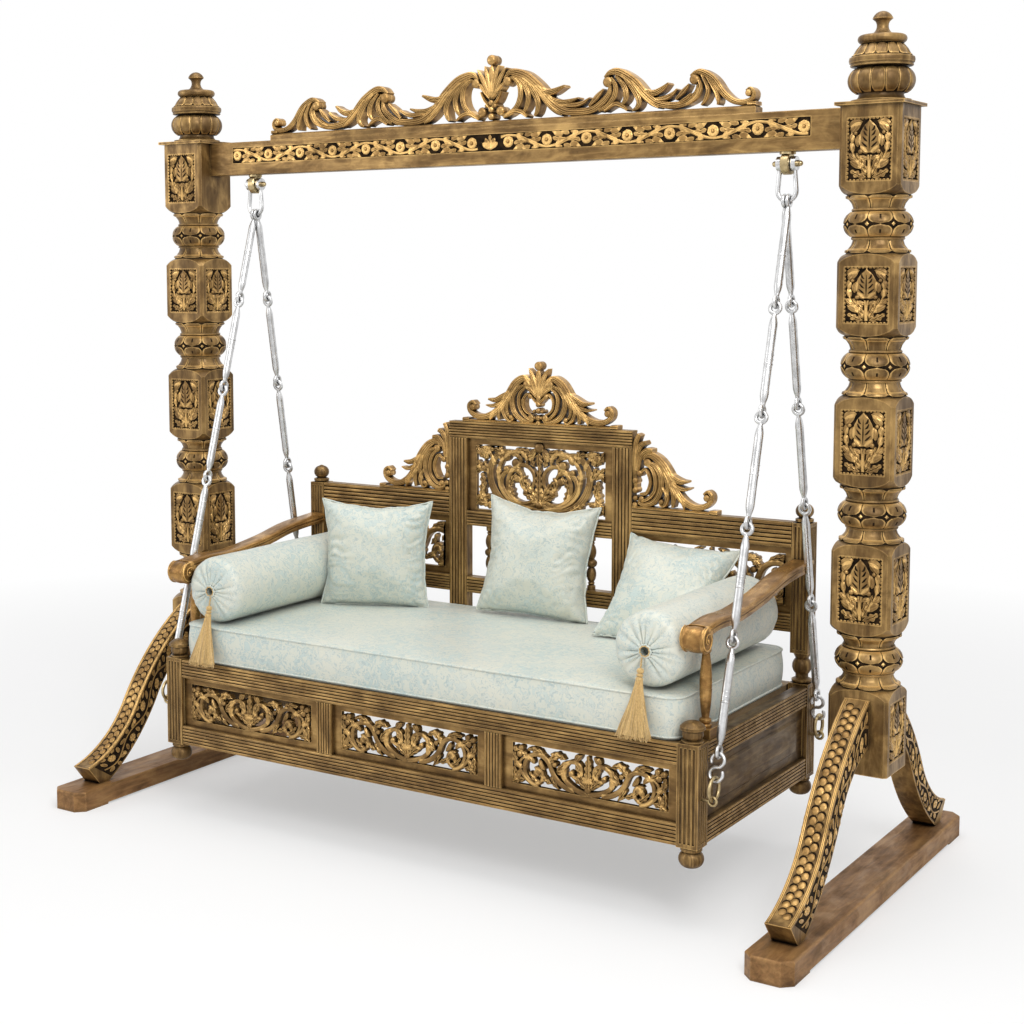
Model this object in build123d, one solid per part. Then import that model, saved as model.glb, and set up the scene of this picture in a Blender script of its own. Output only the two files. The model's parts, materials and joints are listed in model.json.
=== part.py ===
"""Carved wooden jhoola: a swing seat hung by four iron chains from a turned and carved stand.

Frame: X runs along the beam, -Y is the front of the seat, +Z is up, the feet stand on z = 0
and the origin is under the middle of the swing. Millimetres.
"""
from build123d import *
import math
import os

os.makedirs("parts", exist_ok=True)

# ------------------------------------------------------------------ driving dimensions, mm
# width: the hangers and the stand follow from the seat
SEAT_X = 804.0             # corner post axis from the middle of the swing
HANGER_X = SEAT_X + 41     # hangers stand a little further out, clear of the seat
CREST_HALF = HANGER_X - 77  # beam crest ends short of the wells over the hangers
POST_X = SEAT_X + 272      # post axis, clear of the swinging seat and its rings

# stand: posts
BLOCK = 150.0              # side of the square carved blocks
BLOCK_EDGE = 8.0           # chamfer along the upright edges of a block
POST_BOTTOM = 333.0        # underside of the lowest block
BLOCK_HEIGHTS = [209.0, 223.0, 217.0, 196.0, 209.0]
NECK_HEIGHTS = [133.0, 138.0, 145.0, 140.0]
SHOULDER_R = 74.0          # radius of a block's rounded end
SHOULDER_H = 40.0          # height over which the end rounds off
NECK_R = 56.0              # narrowest turned radius between blocks
BULB_R = 79.0              # radius of the turned bulb between blocks
PANEL_DEPTH = 5.0          # depth of the sunk carved field on a block
PANEL_SIDE = 21.0          # plain border left and right of the field
PANEL_END = 31.0           # plain border above and below the field
CAP_SIDE = 168.0           # square plate on top of the post
CAP_THICK = 8.0
FINIAL_H = 214.0

# stand: feet and braces
FOOT_W = 117.4
FOOT_L = 1244.0
FOOT_H = 57.0
FOOT_CORNER = 24.0
FOOT_BEAD = 6.0
FOOT_PAD = 115.0           # length of the pad left standing at each end of a foot
FOOT_HOLLOW = 5.0          # depth of the hollow between the pads
BRACE_W = 62.0
BRACE_REACH = FOOT_L / 2 - 66  # front tip of a brace from the post axis, short of the foot's end
BRACE_TIP_H = 53.0         # height of that tip above the foot
BRACE_TOP = 187.0          # top of a brace above the underside of the lowest block

# stand: beam and crest
BEAM_W = 50.0
BEAM_H = 98.0
TENON_L = 60.0
TENON_W = 30.0
TENON_H = 78.0
VINE_HALF = POST_X - BLOCK / 2 - 89  # half-length of the carved band, short of the posts
VINE_H = 46.0
VINE_DEPTH = 3.0
STRIP_W = 44.0
STRIP_H = 19.0
CREST_THICK = 28.0
CREST_FOOT_W = 130.0       # low foot under the middle of a crest
CREST_FOOT_H = 7.0

# hangers
PIN_DROP = 29.0            # pin axis below the beam
PIN_R = 8.0
RUN_FIT = 0.06             # radial clearance of a turning pin
EYE_R = 27.0               # outer radius of the eye bolt's head
EYE_W = 22.0
STEM_R = 8.0
NUT_R = 14.0
NUT_H = 12.0
WASHER_R = 17.0
WASHER_H = 3.0
STEM_END = 8.0             # stem above its nut
WELL_R = 17.5              # well in the top of the beam that hides the nut
WELL_SPARE = 2.0           # depth of the well above the end of the stem
BOW_R = 24.0               # inner curve of the shackle, to the middle of the wire
BOW_WIRE = 6.0
BOW_DEPTH = 66.3           # middle of the bow's round end below the pin
BOW_LEG_Z = 8.0            # where a leg leaves its ear, below the pin
EAR_X = 19.0               # middle of an ear from the middle of the hanger
EAR_R = 18.0
EAR_W = 12.0
PIN_HALF = 30.0
BALL_R = 7.0

# chains
CHAIN_STEP = 5.3           # chain plane to the middle of its hanger
ROD_COUNT = 5
ROD_R = 10.5
LINK_R = 13.0              # eye of a rod, to the middle of the wire
LINK_WIRE = 5.0
LINK_PLAY = 0.3
RING_PLAY = 0.6
EYE_PLAY = 0.5             # room for the slanted top eye in the shackle
HOOK_R = 16.5
HOOK_WIRE = 4.5
RING_R = 27.5
RING_WIRE = 4.5
SCREW_EYE_R = 10.0
SCREW_EYE_WIRE = 3.5
SCREW_EYE_DROP = 132.0     # screw eye below the top of the seat frame
SCREW_EYE_OUT = 24.5       # screw eye outside the face of its corner post
SHANK_R = 4.0
SHANK_L = 26.0

# seat frame
FRONT_Y = -420.0
REAR_Y = 262.0
LEG = 55.0                 # side of a corner post
SEAT_TOP = 450.0           # top of the rails and slats
RAIL_H = 52.0
LOW_RAIL_Z = 203.0
LOW_RAIL_H = 54.0
RAIL_THICK = 32.0
RAIL_SET = 3.5             # rail face behind the face of the corner post
JOINT_L = 16.0             # tenon of a seat rail
JOINT_THICK = 14.0
JOINT_SHY = 8.0            # tenon narrower than its rail on each edge
MUNTIN_W = 50.0
MUNTIN_X = 267.5
BOARD = 12.0               # thickness of the boards in the frames
BOARD_SET = 12.0           # board face behind the rail face
GROOVE = 6.0               # depth of the groove that holds a board
FIELD_SIDE = 27.0          # border left and right of a front carving
FIELD_END = 18.0           # border above and below it
FLUTE_R = 3.4
REED_R = 1.9
FOOT_BUN_H = 51.0
FOOT_BUN_R = 30.5
KNOB_R = 30.0
KNOB_H = 53.0

# seat back
BACK_THICK = 32.0
BACK_FRONT = 240.0
STILE_IN = 243.0
STILE_OUT = 305.0
BACK_LOW = 592.0
BACK_LOW_H = 48.0
BACK_SIDE_TOP = 888.0
BACK_RAIL_H = 68.0
BACK_MID = 796.0
BACK_MID_H = 44.0
BACK_CENTRE_TOP = 1107.0
BACK_TOP_H = 49.0
SPINDLE_GAP = 85.0
SPINDLE_R = 15.0
BACK_CREST_THICK = 22.0
REAR_BALL_R = 26.0
REAR_LEG = 50.0
REAR_LEG_TOP = 887.0
REAR_KNOB_H = 53.0

# arms
ARM_W = 56.0
ARM_THICK = 26.0
SCROLL_R = 31.0
BALUSTER_Y = -350.0
BALUSTER_R = 15.0

# deck
SLAT_W = 90.0
SLAT_THICK = 18.0
SLAT_COUNT = 9
LEDGER = 25.0

# soft goods
SOFT_GAP = 0.3
MATTRESS_H = 110.0
MATTRESS_CORNER = 45.0
BOLSTER_R = 95.0
BOLSTER_Y0 = -428.0
BOLSTER_Y1 = 195.0
BOLSTER_EDGE = 28.0
BOLSTER_HOLE_R = 13.0
BOLSTER_HOLE = 25.0
TASSEL_Z = 640.0
TASSEL_L = 196.0
TASSEL_LEAN = 13.5
TASSEL_SKIRT_R = 20.0      # half the depth of the skirt's hem, front to back
TASSEL_SPREAD = 96.0       # width of the hem

# ------------------------------------------------------------------ worked out from them
BLOCK_SPANS = []
_z = POST_BOTTOM
for _block, _neck in zip(BLOCK_HEIGHTS, NECK_HEIGHTS + [0.0]):
    BLOCK_SPANS.append((_z, _z + _block))
    _z += _block + _neck
POST_TOP = BLOCK_SPANS[-1][1]
BEAM_HALF = POST_X - BLOCK / 2
BEAM_LOW = POST_TOP - BEAM_H
CREST_Z = POST_TOP + STRIP_H
PIN_Z = BEAM_LOW - PIN_DROP
WELL_Z = POST_TOP - WELL_SPARE - STEM_END - NUT_H - WASHER_H
BOW_Z = PIN_Z - BOW_DEPTH
LINK_SPREAD = math.sqrt((BOW_R - BOW_WIRE - LINK_WIRE - EYE_PLAY) ** 2 - CHAIN_STEP ** 2)
CHAIN_TOP_Z = BOW_Z - LINK_SPREAD
FIRST_EYE_Z = CHAIN_TOP_Z - LINK_R
SCREW_EYE_Z = SEAT_TOP - SCREW_EYE_DROP

INNER_X = SEAT_X - LEG / 2
OUTER_X = SEAT_X + LEG / 2
FRONT_IN = FRONT_Y + LEG / 2
REAR_IN = REAR_Y - LEG / 2
RAIL_FRONT = FRONT_Y - LEG / 2 + RAIL_SET
RAIL_OUT_X = OUTER_X - RAIL_SET
TOP_RAIL_Z = SEAT_TOP - RAIL_H
LOW_RAIL_TOP = LOW_RAIL_Z + LOW_RAIL_H
LEG_BOTTOM = LOW_RAIL_Z - 2.0
LEG_TOP = SEAT_TOP + 2.0
BACK_REAR = BACK_FRONT + BACK_THICK
BACK_LOW_TOP = BACK_LOW + BACK_LOW_H
BACK_SIDE_LOW = BACK_SIDE_TOP - BACK_RAIL_H
BACK_MID_TOP = BACK_MID + BACK_MID_H
BACK_CENTRE_LOW = BACK_CENTRE_TOP - BACK_TOP_H
REAR_INNER_X = SEAT_X - REAR_LEG / 2
MATTRESS_Z = SEAT_TOP + SOFT_GAP
MATTRESS_TOP = MATTRESS_Z + MATTRESS_H
BOLSTER_X = SEAT_X - ARM_W / 2 - SOFT_GAP - BOLSTER_R
TASSEL_X = BOLSTER_X - 5.7
BOLSTER_Z = MATTRESS_TOP + SOFT_GAP + BOLSTER_R

nodes = {}


# ------------------------------------------------------------------ shapes
def box(x0, x1, y0, y1, z0, z1):
    """Box between two corners."""
    return Pos((x0 + x1) / 2, (y0 + y1) / 2, (z0 + z1) / 2) * Box(x1 - x0, y1 - y0, z1 - z0)


def turned(outline, x=0.0, y=0.0):
    """Lathe work about an upright axis: a step is a line to (r, z) or an arc (r, z, r, z)."""
    r, z = outline[0]
    edges = [Line((0, z), (r, z))] if r > 0 else []
    for step in outline[1:]:
        if len(step) == 2:
            edges.append(Line((r, z), step))
        else:
            edges.append(ThreePointArc((r, z), step[:2], step[2:]))
        r, z = step[-2:]
    if r > 0:
        edges.append(Line((r, z), (0, z)))
    edges.append(Line((0, z), (0, outline[0][1])))
    return Pos(x, y, 0) * revolve(Plane.XZ * make_face(edges), Axis.Z)


def dome(r, z, top):
    """Step of a turned outline: a round cap from radius r at z to the axis at the top."""
    centre = (top ** 2 - z ** 2 - r ** 2) / (2 * (top - z))
    radius = top - centre
    half_way = (math.atan2(z - centre, r) + math.pi / 2) / 2
    return radius * math.cos(half_way), centre + radius * math.sin(half_way), 0, top


def rod_x(radius, x0, x1, y, z):
    """Round bar along X."""
    return Pos((x0 + x1) / 2, y, z) * Rot(0, 90, 0) * Cylinder(radius, x1 - x0)


def rod_y(radius, y0, y1, x, z):
    """Round bar along Y."""
    return Pos(x, (y0 + y1) / 2, z) * Rot(90, 0, 0) * Cylinder(radius, y1 - y0)


def rod_z(radius, z0, z1, x, y):
    """Round bar along Z."""
    return Pos(x, y, (z0 + z1) / 2) * Cylinder(radius, z1 - z0)


def upright(sketch, x, y0, y1, z):
    """A flat drawing stood on edge, facing the front, between y0 and y1."""
    return Pos(x, y1, z) * Rot(90, 0, 0) * extrude(sketch, y1 - y0)


def lined(u0, u1, v0, v1, sides, count, radius):
    """Rectangle with a row of round grooves cut into the named sides."""
    face = Pos((u0 + u1) / 2, (v0 + v1) / 2) * Rectangle(u1 - u0, v1 - v0)
    cuts = []
    for k in range(count):
        share = (k + 1) / (count + 1)
        u = u0 + (u1 - u0) * share
        v = v0 + (v1 - v0) * share
        places = {"u0": (u0, v), "u1": (u1, v), "v0": (u, v0), "v1": (u, v1)}
        cuts += [Pos(*places[side]) * Circle(radius) for side in sides]
    return face - cuts


def save(name, *shapes):
    """Write one node as a STEP file that holds each of its solids."""
    solids = [solid for shape in shapes for solid in shape.solids()]
    nodes[name] = solids
    export_step(Compound(children=solids), f"parts/{name}.step")


# ------------------------------------------------------------------ carved patterns
# Right half of each pattern, from its middle line; a wing from the face of its stile. A stem is a start, a heading in degrees,
# arcs as (radius, turn), and its width at both ends. A leaf is a start, an angle, a length,
# a width and a bend.
FRONT_PATTERN_HALF = 215.5
FRONT_PATTERN = [
    ("stem", 0, -46, 0, [(92, 38), (31, 150), (19, 170), (10, 120)], 14, 8),
    ("stem", 38, -43, 0, [(70, 72), (38, -225), (22, -160), (12, -90)], 15, 8),
    ("stem", 140, -50, 10, [(70, 52), (24, 120)], 12, 7),
    ("disc", 45, -2, 8), ("disc", 139, -11, 9), ("disc", 0, -36, 9),
    ("leaf", 196, -12, 60, 44, 16, 30), ("leaf", 166, 18, 40, 50, 16, -30),
    ("leaf", 108, 12, 115, 44, 17, 30), ("leaf", 88, -8, 120, 58, 15, 40),
    ("leaf", 62, 30, 30, 44, 14, -40), ("leaf", 98, -36, 8, 46, 14, 40),
    ("leaf", 174, -36, -10, 46, 15, -20), ("leaf", 122, 32, 35, 50, 15, -50),
    ("leaf", 206, -4, -80, 44, 15, -20), ("leaf", 0, -42, 90, 94, 20, 0),
    ("leaf", 2, -38, 68, 80, 16, -10), ("leaf", 4, -36, 46, 52, 14, -20),
]
BACK_PATTERN_HALF = 217.5
BACK_PATTERN = [
    ("stem", 0, -88, 0, [(150, 30), (62, 120), (40, 150), (22, 150), (13, 100)], 18, 9),
    ("stem", 60, -78, 10, [(95, 75), (70, 95), (28, 110)], 16, 9),
    ("stem", 150, 40, 80, [(60, -30), (30, 100), (14, 120)], 12, 8),
    ("disc", 72, 2, 12), ("disc", 0, -70, 12), ("disc", 0, -98, 14), ("disc", 0, 98, 16),
    ("leaf", 128, 48, 100, 50, 22, -30), ("leaf", 40, 62, 60, 40, 18, -40),
    ("leaf", 30, 66, 110, 36, 18, 30), ("leaf", 158, -52, -22, 64, 20, 30),
    ("leaf", 150, -76, -10, 70, 18, 20), ("leaf", 186, -30, -70, 66, 18, 20),
    ("leaf", 188, 56, 52, 60, 22, 0), ("leaf", 186, 52, 120, 46, 20, -20),
    ("leaf", 196, 40, -50, 40, 18, 0), ("leaf", 0, -74, 90, 120, 24, 0),
    ("leaf", 4, -70, 66, 86, 20, -14), ("leaf", 6, -68, 42, 58, 18, -20),
    ("leaf", 0, 84, -90, 44, 26, 0), ("leaf", 10, 84, -45, 46, 18, 30),
    ("leaf", 100, 84, -70, 34, 18, 0),
]
CREST_PATTERN_HALF = 768.0
CREST_PATTERN = [
    ("disc", 0, 163, 15), ("disc", 0, 12, 15), ("disc", 0, 42, 17), ("disc", 0, 66, 12),
    ("leaf", 0, 62, 90, 94, 26, 0), ("leaf", 3, 62, 74, 90, 26, -8),
    ("leaf", 5, 60, 57, 80, 25, -16), ("leaf", 6, 58, 37, 60, 20, -20),
    ("leaf", 2, 46, -14, 50, 16, 60), ("leaf", 6, 62, -4, 52, 17, 60),
    ("stem", 34, 22, 205, [(15, 165), (72, 42), (60, 72), (28, 120)], 11, 18),
    ("disc", 54, 112, 14), ("disc", 32, 24, 15),
    ("stem", 54, 106, 85, [(28, -95), (120, -42), (190, 50), (140, 56)], 24, 12),
    ("leaf", 88, 134, -104, 112, 27, 34), ("leaf", 112, 128, -102, 112, 28, 34),
    ("leaf", 138, 112, -100, 104, 27, 36), ("leaf", 166, 92, -96, 84, 24, 36),
    ("leaf", 168, 80, 6, 58, 19, 50), ("leaf", 208, 52, 8, 62, 19, 46),
    ("leaf", 246, 28, 14, 58, 18, 42), ("leaf", 58, 4, 30, 62, 15, -36),
    ("stem", 346, 66, 98, [(35, -112), (112, -38), (120, 46), (110, 64)], 22, 11),
    ("disc", 362, 70, 15),
    ("leaf", 388, 98, -104, 92, 26, 34), ("leaf", 412, 90, -102, 88, 26, 34),
    ("leaf", 436, 74, -98, 70, 22, 34), ("leaf", 428, 70, 0, 58, 19, 52),
    ("leaf", 462, 42, 4, 54, 18, 50), ("leaf", 330, 2, 66, 64, 18, -30),
    ("leaf", 300, 2, 46, 52, 16, -34),
    ("stem", 566, 50, 98, [(29, -112), (88, -36), (80, 70), (22, 110), (13, 120)], 20, 10),
    ("disc", 580, 52, 13),
    ("leaf", 602, 72, -104, 70, 22, 34), ("leaf", 622, 62, -100, 60, 20, 34),
    ("leaf", 632, 48, -6, 44, 15, 54), ("leaf", 548, 2, 66, 52, 16, -30),
    ("leaf", 520, 2, 46, 44, 14, -34),
]
BACK_CREST_HALF = 255.0
BACK_CREST_PATTERN = [
    ("disc", 0, 174, 12), ("disc", 0, 12, 15), ("disc", 0, 40, 15), ("disc", 0, 64, 11),
    ("leaf", 0, 80, 90, 88, 24, 0), ("leaf", 3, 80, 74, 84, 23, -8),
    ("leaf", 5, 78, 55, 74, 21, -18), ("leaf", 6, 76, 34, 54, 16, -24),
    ("leaf", 2, 66, -10, 42, 14, 60), ("leaf", 2, 44, -14, 38, 13, 60),
    ("stem", 32, 20, 205, [(14, 160), (66, 46), (52, 74), (24, 110)], 10, 17),
    ("disc", 50, 108, 13), ("disc", 30, 22, 14),
    ("stem", 50, 102, 84, [(24, -92), (60, -50), (210, 34), (50, 28), (16, 170), (9, 100)], 23, 9),
    ("leaf", 82, 118, -104, 98, 25, 34), ("leaf", 104, 100, -102, 86, 25, 34),
    ("leaf", 124, 74, -98, 62, 22, 36), ("leaf", 126, 66, 4, 50, 17, 54),
    ("leaf", 156, 36, 6, 44, 14, 50), ("leaf", 54, 2, 34, 54, 14, -36),
]
WING_LENGTH = 265.0
WING_PATTERN = [
    ("leaf", 6, 104, 86, 96, 24, -6), ("leaf", 8, 106, 66, 76, 22, -14),
    ("leaf", 8, 100, 44, 54, 17, -20), ("leaf", 2, 150, 62, 44, 15, -20),
    ("stem", 6, 8, 14, [(60, 28), (50, 122), (24, 120), (11, 90)], 11, 17),
    ("disc", 20, 76, 12), ("disc", 9, 42, 12), ("disc", 9, 14, 12), ("disc", 26, 112, 13),
    ("stem", 24, 112, 62, [(24, -80), (100, -36), (210, 38), (60, 28), (17, 170), (9, 100)], 23, 9),
    ("leaf", 60, 120, -104, 100, 25, 34), ("leaf", 84, 102, -102, 88, 25, 34),
    ("leaf", 108, 76, -98, 64, 22, 36), ("leaf", 112, 66, 4, 50, 17, 54),
    ("leaf", 148, 34, 6, 44, 14, 50), ("leaf", 40, 2, 40, 54, 14, -36),
    ("leaf", 2, 50, 54, 50, 15, -30), ("leaf", 2, 22, 50, 44, 14, -30),
]


def walk(x, y, heading, radius, turn):
    """Point and heading at the end of an arc; a positive turn goes left."""
    side = math.copysign(1.0, turn)
    start = math.radians(heading)
    end = start + math.radians(turn)
    cx = x - side * radius * math.sin(start)
    cy = y + side * radius * math.cos(start)
    return cx + side * radius * math.sin(end), cy - side * radius * math.cos(end), heading + turn


def stem(x, y, heading, arcs, w0, w1):
    """Faces of a tapering curved stem, one for each quarter turn or less."""
    total = sum(radius * abs(math.radians(turn)) for radius, turn in arcs)
    done = 0.0
    faces = []
    for radius, turn in arcs:
        pieces = math.ceil(abs(turn) / 90)
        step = turn / pieces
        run = radius * abs(math.radians(step))
        for _ in range(pieces):
            left = []
            right = []
            for share in (0.0, 0.5, 1.0):
                px, py, way = walk(x, y, heading, radius, step * share)
                half = (w0 + (w1 - w0) * (done + run * share) / total) / 2
                dx = half * math.sin(math.radians(way))
                dy = half * math.cos(math.radians(way))
                left.append((px - dx, py + dy))
                right.append((px + dx, py - dy))
            faces.append(make_face([
                ThreePointArc(*left), Line(left[2], right[2]),
                ThreePointArc(*right), Line(right[0], left[0]),
            ]))
            x, y, heading = walk(x, y, heading, radius, step)
            done += run
    return faces


def leaf(x, y, angle, length, width, bend):
    """Face of a pointed leaf between two arcs."""
    tip_way = math.radians(angle + bend / 2)
    mid_way = math.radians(angle + bend / 4)
    tip = (x + length * math.cos(tip_way), y + length * math.sin(tip_way))
    mx = x + length / 2 * math.cos(mid_way)
    my = y + length / 2 * math.sin(mid_way)
    dx = width / 2 * math.sin(tip_way)
    dy = width / 2 * math.cos(tip_way)
    return make_face([
        ThreePointArc((x, y), (mx - dx, my + dy), tip),
        ThreePointArc((x, y), (mx + dx, my - dy), tip),
    ])


def pattern(entries, scale=1.0, mirrored=True):
    """Outline of a carved pattern: its right half, and the left half as its mirror image."""
    faces = []
    for side in (1, -1) if mirrored else (1,):
        for kind, x, y, *rest in entries:
            x = side * x * scale
            y = y * scale
            if kind == "disc":
                faces.append(Pos(x, y) * Circle(rest[0] * scale))
                continue
            angle = rest[0] if side == 1 else 180 - rest[0]
            if kind == "leaf":
                _, length, width, bend = rest
                faces.append(leaf(x, y, angle, length * scale, width * scale, side * bend))
            else:
                _, arcs, w0, w1 = rest
                bends = [(radius * scale, side * turn) for radius, turn in arcs]
                faces += stem(x, y, angle, bends, w0 * scale, w1 * scale)
    return Sketch() + faces


def carved_board(width, height, field_w, field_h, field_y, carving):
    """Board with a sunk field pierced by a carved pattern."""
    field = Pos(0, field_y) * Rectangle(field_w, field_h)
    return Rectangle(width, height) - field + ((Pos(0, field_y) * carving) & field)


# ------------------------------------------------------------------ stand: posts, caps, finials
def post_block(span, round_low, round_high):
    """Square block whose free ends are rounded off on the lathe."""
    z0, z1 = span
    corner = BLOCK / math.sqrt(2) + 2
    bulge = SHOULDER_R + 0.62 * (corner - SHOULDER_R)
    rise = 0.35 * SHOULDER_H
    outline = [(corner, z0)]
    if round_low:
        outline = [(SHOULDER_R, z0), (bulge, z0 + rise, corner, z0 + SHOULDER_H)]
    if round_high:
        outline += [(corner, z1 - SHOULDER_H), (bulge, z1 - rise, SHOULDER_R, z1)]
    else:
        outline.append((corner, z1))
    square = Pos(0, 0, (z0 + z1) / 2) * Box(BLOCK, BLOCK, z1 - z0)
    return chamfer(square.edges().filter_by(Axis.Z), BLOCK_EDGE) & turned(outline)


def neck(z, height):
    """Turned ring and bulb stack between two blocks."""
    lip = 8.0
    step = 6.0
    ring = NECK_R + 4
    return turned([
        (SHOULDER_R, z), (SHOULDER_R, z + lip), (SHOULDER_R - step, z + lip),
        (NECK_R + 3, z + 0.15 * height, NECK_R, z + 0.22 * height),
        (ring, z + 0.24 * height), (ring, z + 0.28 * height),
        (BULB_R, z + 0.5 * height, ring, z + 0.72 * height),
        (ring, z + 0.76 * height), (NECK_R, z + 0.78 * height),
        (NECK_R + 3, z + 0.85 * height, SHOULDER_R - step, z + height - lip),
        (SHOULDER_R, z + height - lip), (SHOULDER_R, z + height),
    ])


DOWEL_R = 6.0
BRACE_DOWEL_R = 8.0
BRACE_DOWEL_L = 30.0
BRACE_DOWEL_RISES = [105.0, 150.0]
HOLE_FIT = 0.05
TENON_LOW = BEAM_LOW + (BEAM_H - TENON_H) / 2
DOWEL_LOW = TENON_LOW - 12.0
DOWEL_X = BEAM_HALF + TENON_L / 2


def post(side):
    """One post, with the beam's mortise on its inner side."""
    solids = []
    last = len(BLOCK_SPANS) - 1
    for k, span in enumerate(BLOCK_SPANS):
        solids.append(post_block(span, k > 0, k < last))
        if k < last:
            solids.append(neck(span[1], NECK_HEIGHTS[k]))
    body = Part() + solids
    field_w = BLOCK - 2 * PANEL_SIDE
    cuts = []
    for k, (z0, z1) in enumerate(BLOCK_SPANS):
        angles = [0, 90, 180, 270]
        if k == 0:
            angles = [0, 180]
        if k == last:
            angles.remove(180 if side > 0 else 0)
        panel = Pos(BLOCK / 2, 0, (z0 + z1) / 2) * Box(2 * PANEL_DEPTH, field_w, z1 - z0 - 2 * PANEL_END)
        cuts += [Rot(0, 0, angle) * panel for angle in angles]
    body = Pos(side * POST_X, 0, 0) * (body - cuts)
    tenon = box(BEAM_HALF, BEAM_HALF + TENON_L, -TENON_W / 2, TENON_W / 2, TENON_LOW, TENON_LOW + TENON_H)
    holes = [tenon if side > 0 else mirror(tenon, Plane.YZ)]
    holes.append(rod_z(DOWEL_R + HOLE_FIT, DOWEL_LOW, POST_TOP, side * DOWEL_X, 0))
    for rise in BRACE_DOWEL_RISES:
        z = POST_BOTTOM + rise
        for y0, y1 in ((-BLOCK / 2, -BLOCK / 2 + BRACE_DOWEL_L), (BLOCK / 2 - BRACE_DOWEL_L, BLOCK / 2)):
            holes.append(rod_y(BRACE_DOWEL_R + HOLE_FIT, y0, y1, side * POST_X, z))
    return body - holes


def finial(side):
    """Turned top: flared base, melon bulb, lotus cone, ring and button."""
    z = POST_TOP + CAP_THICK
    unit = FINIAL_H / 214
    steps = [
        (70, 0), (70, 6), (56, 10, 52, 21), (75, 51, 58, 82), (60, 84), (72, 89),
        (75, 98, 72, 107), (62, 111), (56, 124, 43, 137), (50, 139), (57, 149, 50, 158),
        (32, 159), (15, 172, 17, 190), (24, 196), dome(24, 196, 214),
    ]
    outline = [tuple(v * unit + (z if i % 2 else 0) for i, v in enumerate(step)) for step in steps]
    return turned(outline, side * POST_X)


for side, name in ((-1, "left"), (1, "right")):
    save(f"post_{name}", post(side))
cap = box(POST_X - CAP_SIDE / 2, POST_X + CAP_SIDE / 2, -CAP_SIDE / 2, CAP_SIDE / 2, POST_TOP, POST_TOP + CAP_THICK)
save("post_cap_plates", cap, mirror(cap, Plane.YZ))
save("finials", finial(-1), finial(1))

# ------------------------------------------------------------------ stand: feet, braces, fixings
SCREW_R = 4.0
SCREW_HEAD_R = 7.0
SCREW_HEAD_H = 5.0
SCREW_BITE = 38.0
SCREW_X = 15.0
BRACE_HEEL = 84.0          # heel of a brace behind its front tip
BRACE_TOE = 44.0           # toe of a brace behind its front tip
BRACE_UNDER = 72.0         # lower edge of a brace above the underside of the lowest block
SCREW_Y = BRACE_REACH - (BRACE_HEEL + BRACE_TOE) / 2
HEAD_Z = FOOT_HOLLOW + 1.0


def screw_places(side):
    """Plan positions of the screws that hold the two braces of one side to their foot."""
    return [(side * POST_X + dx, end * SCREW_Y) for end in (-1, 1) for dx in (-SCREW_X, SCREW_X)]


def foot(side):
    """Foot bar: cut corners, rounded upper edge and a hollow underneath between two pads."""
    plan = Rectangle(FOOT_W, FOOT_L)
    bar = extrude(chamfer(plan.vertices(), FOOT_CORNER), FOOT_H)
    bar = fillet(bar.faces().sort_by(Axis.Z)[-1].edges(), FOOT_BEAD)
    reach = FOOT_L / 2 - FOOT_PAD
    bar -= box(-FOOT_W, FOOT_W, -reach, reach, -1, FOOT_HOLLOW)
    bar = Pos(side * POST_X, 0, 0) * bar
    holes = []
    for x, y in screw_places(side):
        holes.append(rod_z(SCREW_HEAD_R + HOLE_FIT, FOOT_HOLLOW - 1, HEAD_Z + SCREW_HEAD_H, x, y))
        holes.append(rod_z(SCREW_R + HOLE_FIT, FOOT_HOLLOW, FOOT_H + 1, x, y))
    return bar - holes


def brace_outline():
    """Side view of the rear brace: y across, z up. Convex below the block, concave at the toe."""
    face_y = BLOCK / 2
    top = (face_y, POST_BOTTOM + BRACE_TOP)
    tip = (BRACE_REACH, FOOT_H + BRACE_TIP_H)
    turn = (face_y + 0.561 * (tip[0] - face_y), tip[1] + 0.371 * (top[1] - tip[1]))
    toe = (BRACE_REACH - BRACE_TOE, FOOT_H)
    heel = (BRACE_REACH - BRACE_HEEL, FOOT_H)
    under = (face_y, POST_BOTTOM + BRACE_UNDER)
    inner = (face_y + 0.453 * (heel[0] - face_y), heel[1] + 0.626 * (under[1] - heel[1]))
    slope = math.radians(-29)
    rise = math.radians(149)
    upper = TangentArc(top, turn, tangent=(math.cos(slope), math.sin(slope)))
    lower = TangentArc(turn, tip, tangent=upper % 1)
    back = TangentArc(heel, inner, tangent=(math.cos(rise), math.sin(rise)))
    under_arc = TangentArc(inner, under, tangent=back % 1)
    return make_face([upper, lower, Line(tip, toe), Line(toe, heel), back, under_arc, Line(under, top)])


def brace(side, end):
    """One curved brace from the lowest block down to the foot."""
    solid = extrude(Plane.YZ * brace_outline(), BRACE_W / 2, both=True)
    if end < 0:
        solid = mirror(solid, Plane.XZ)
    solid = Pos(side * POST_X, 0, 0) * solid
    y0, y1 = sorted((end * BLOCK / 2, end * (BLOCK / 2 + BRACE_DOWEL_L)))
    holes = [rod_y(BRACE_DOWEL_R + HOLE_FIT, y0, y1, side * POST_X, POST_BOTTOM + rise)
             for rise in BRACE_DOWEL_RISES]
    for x, y in screw_places(side):
        holes.append(rod_z(SCREW_R + HOLE_FIT, FOOT_H, FOOT_H + SCREW_BITE + 1, x, y))
    return solid - holes


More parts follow.
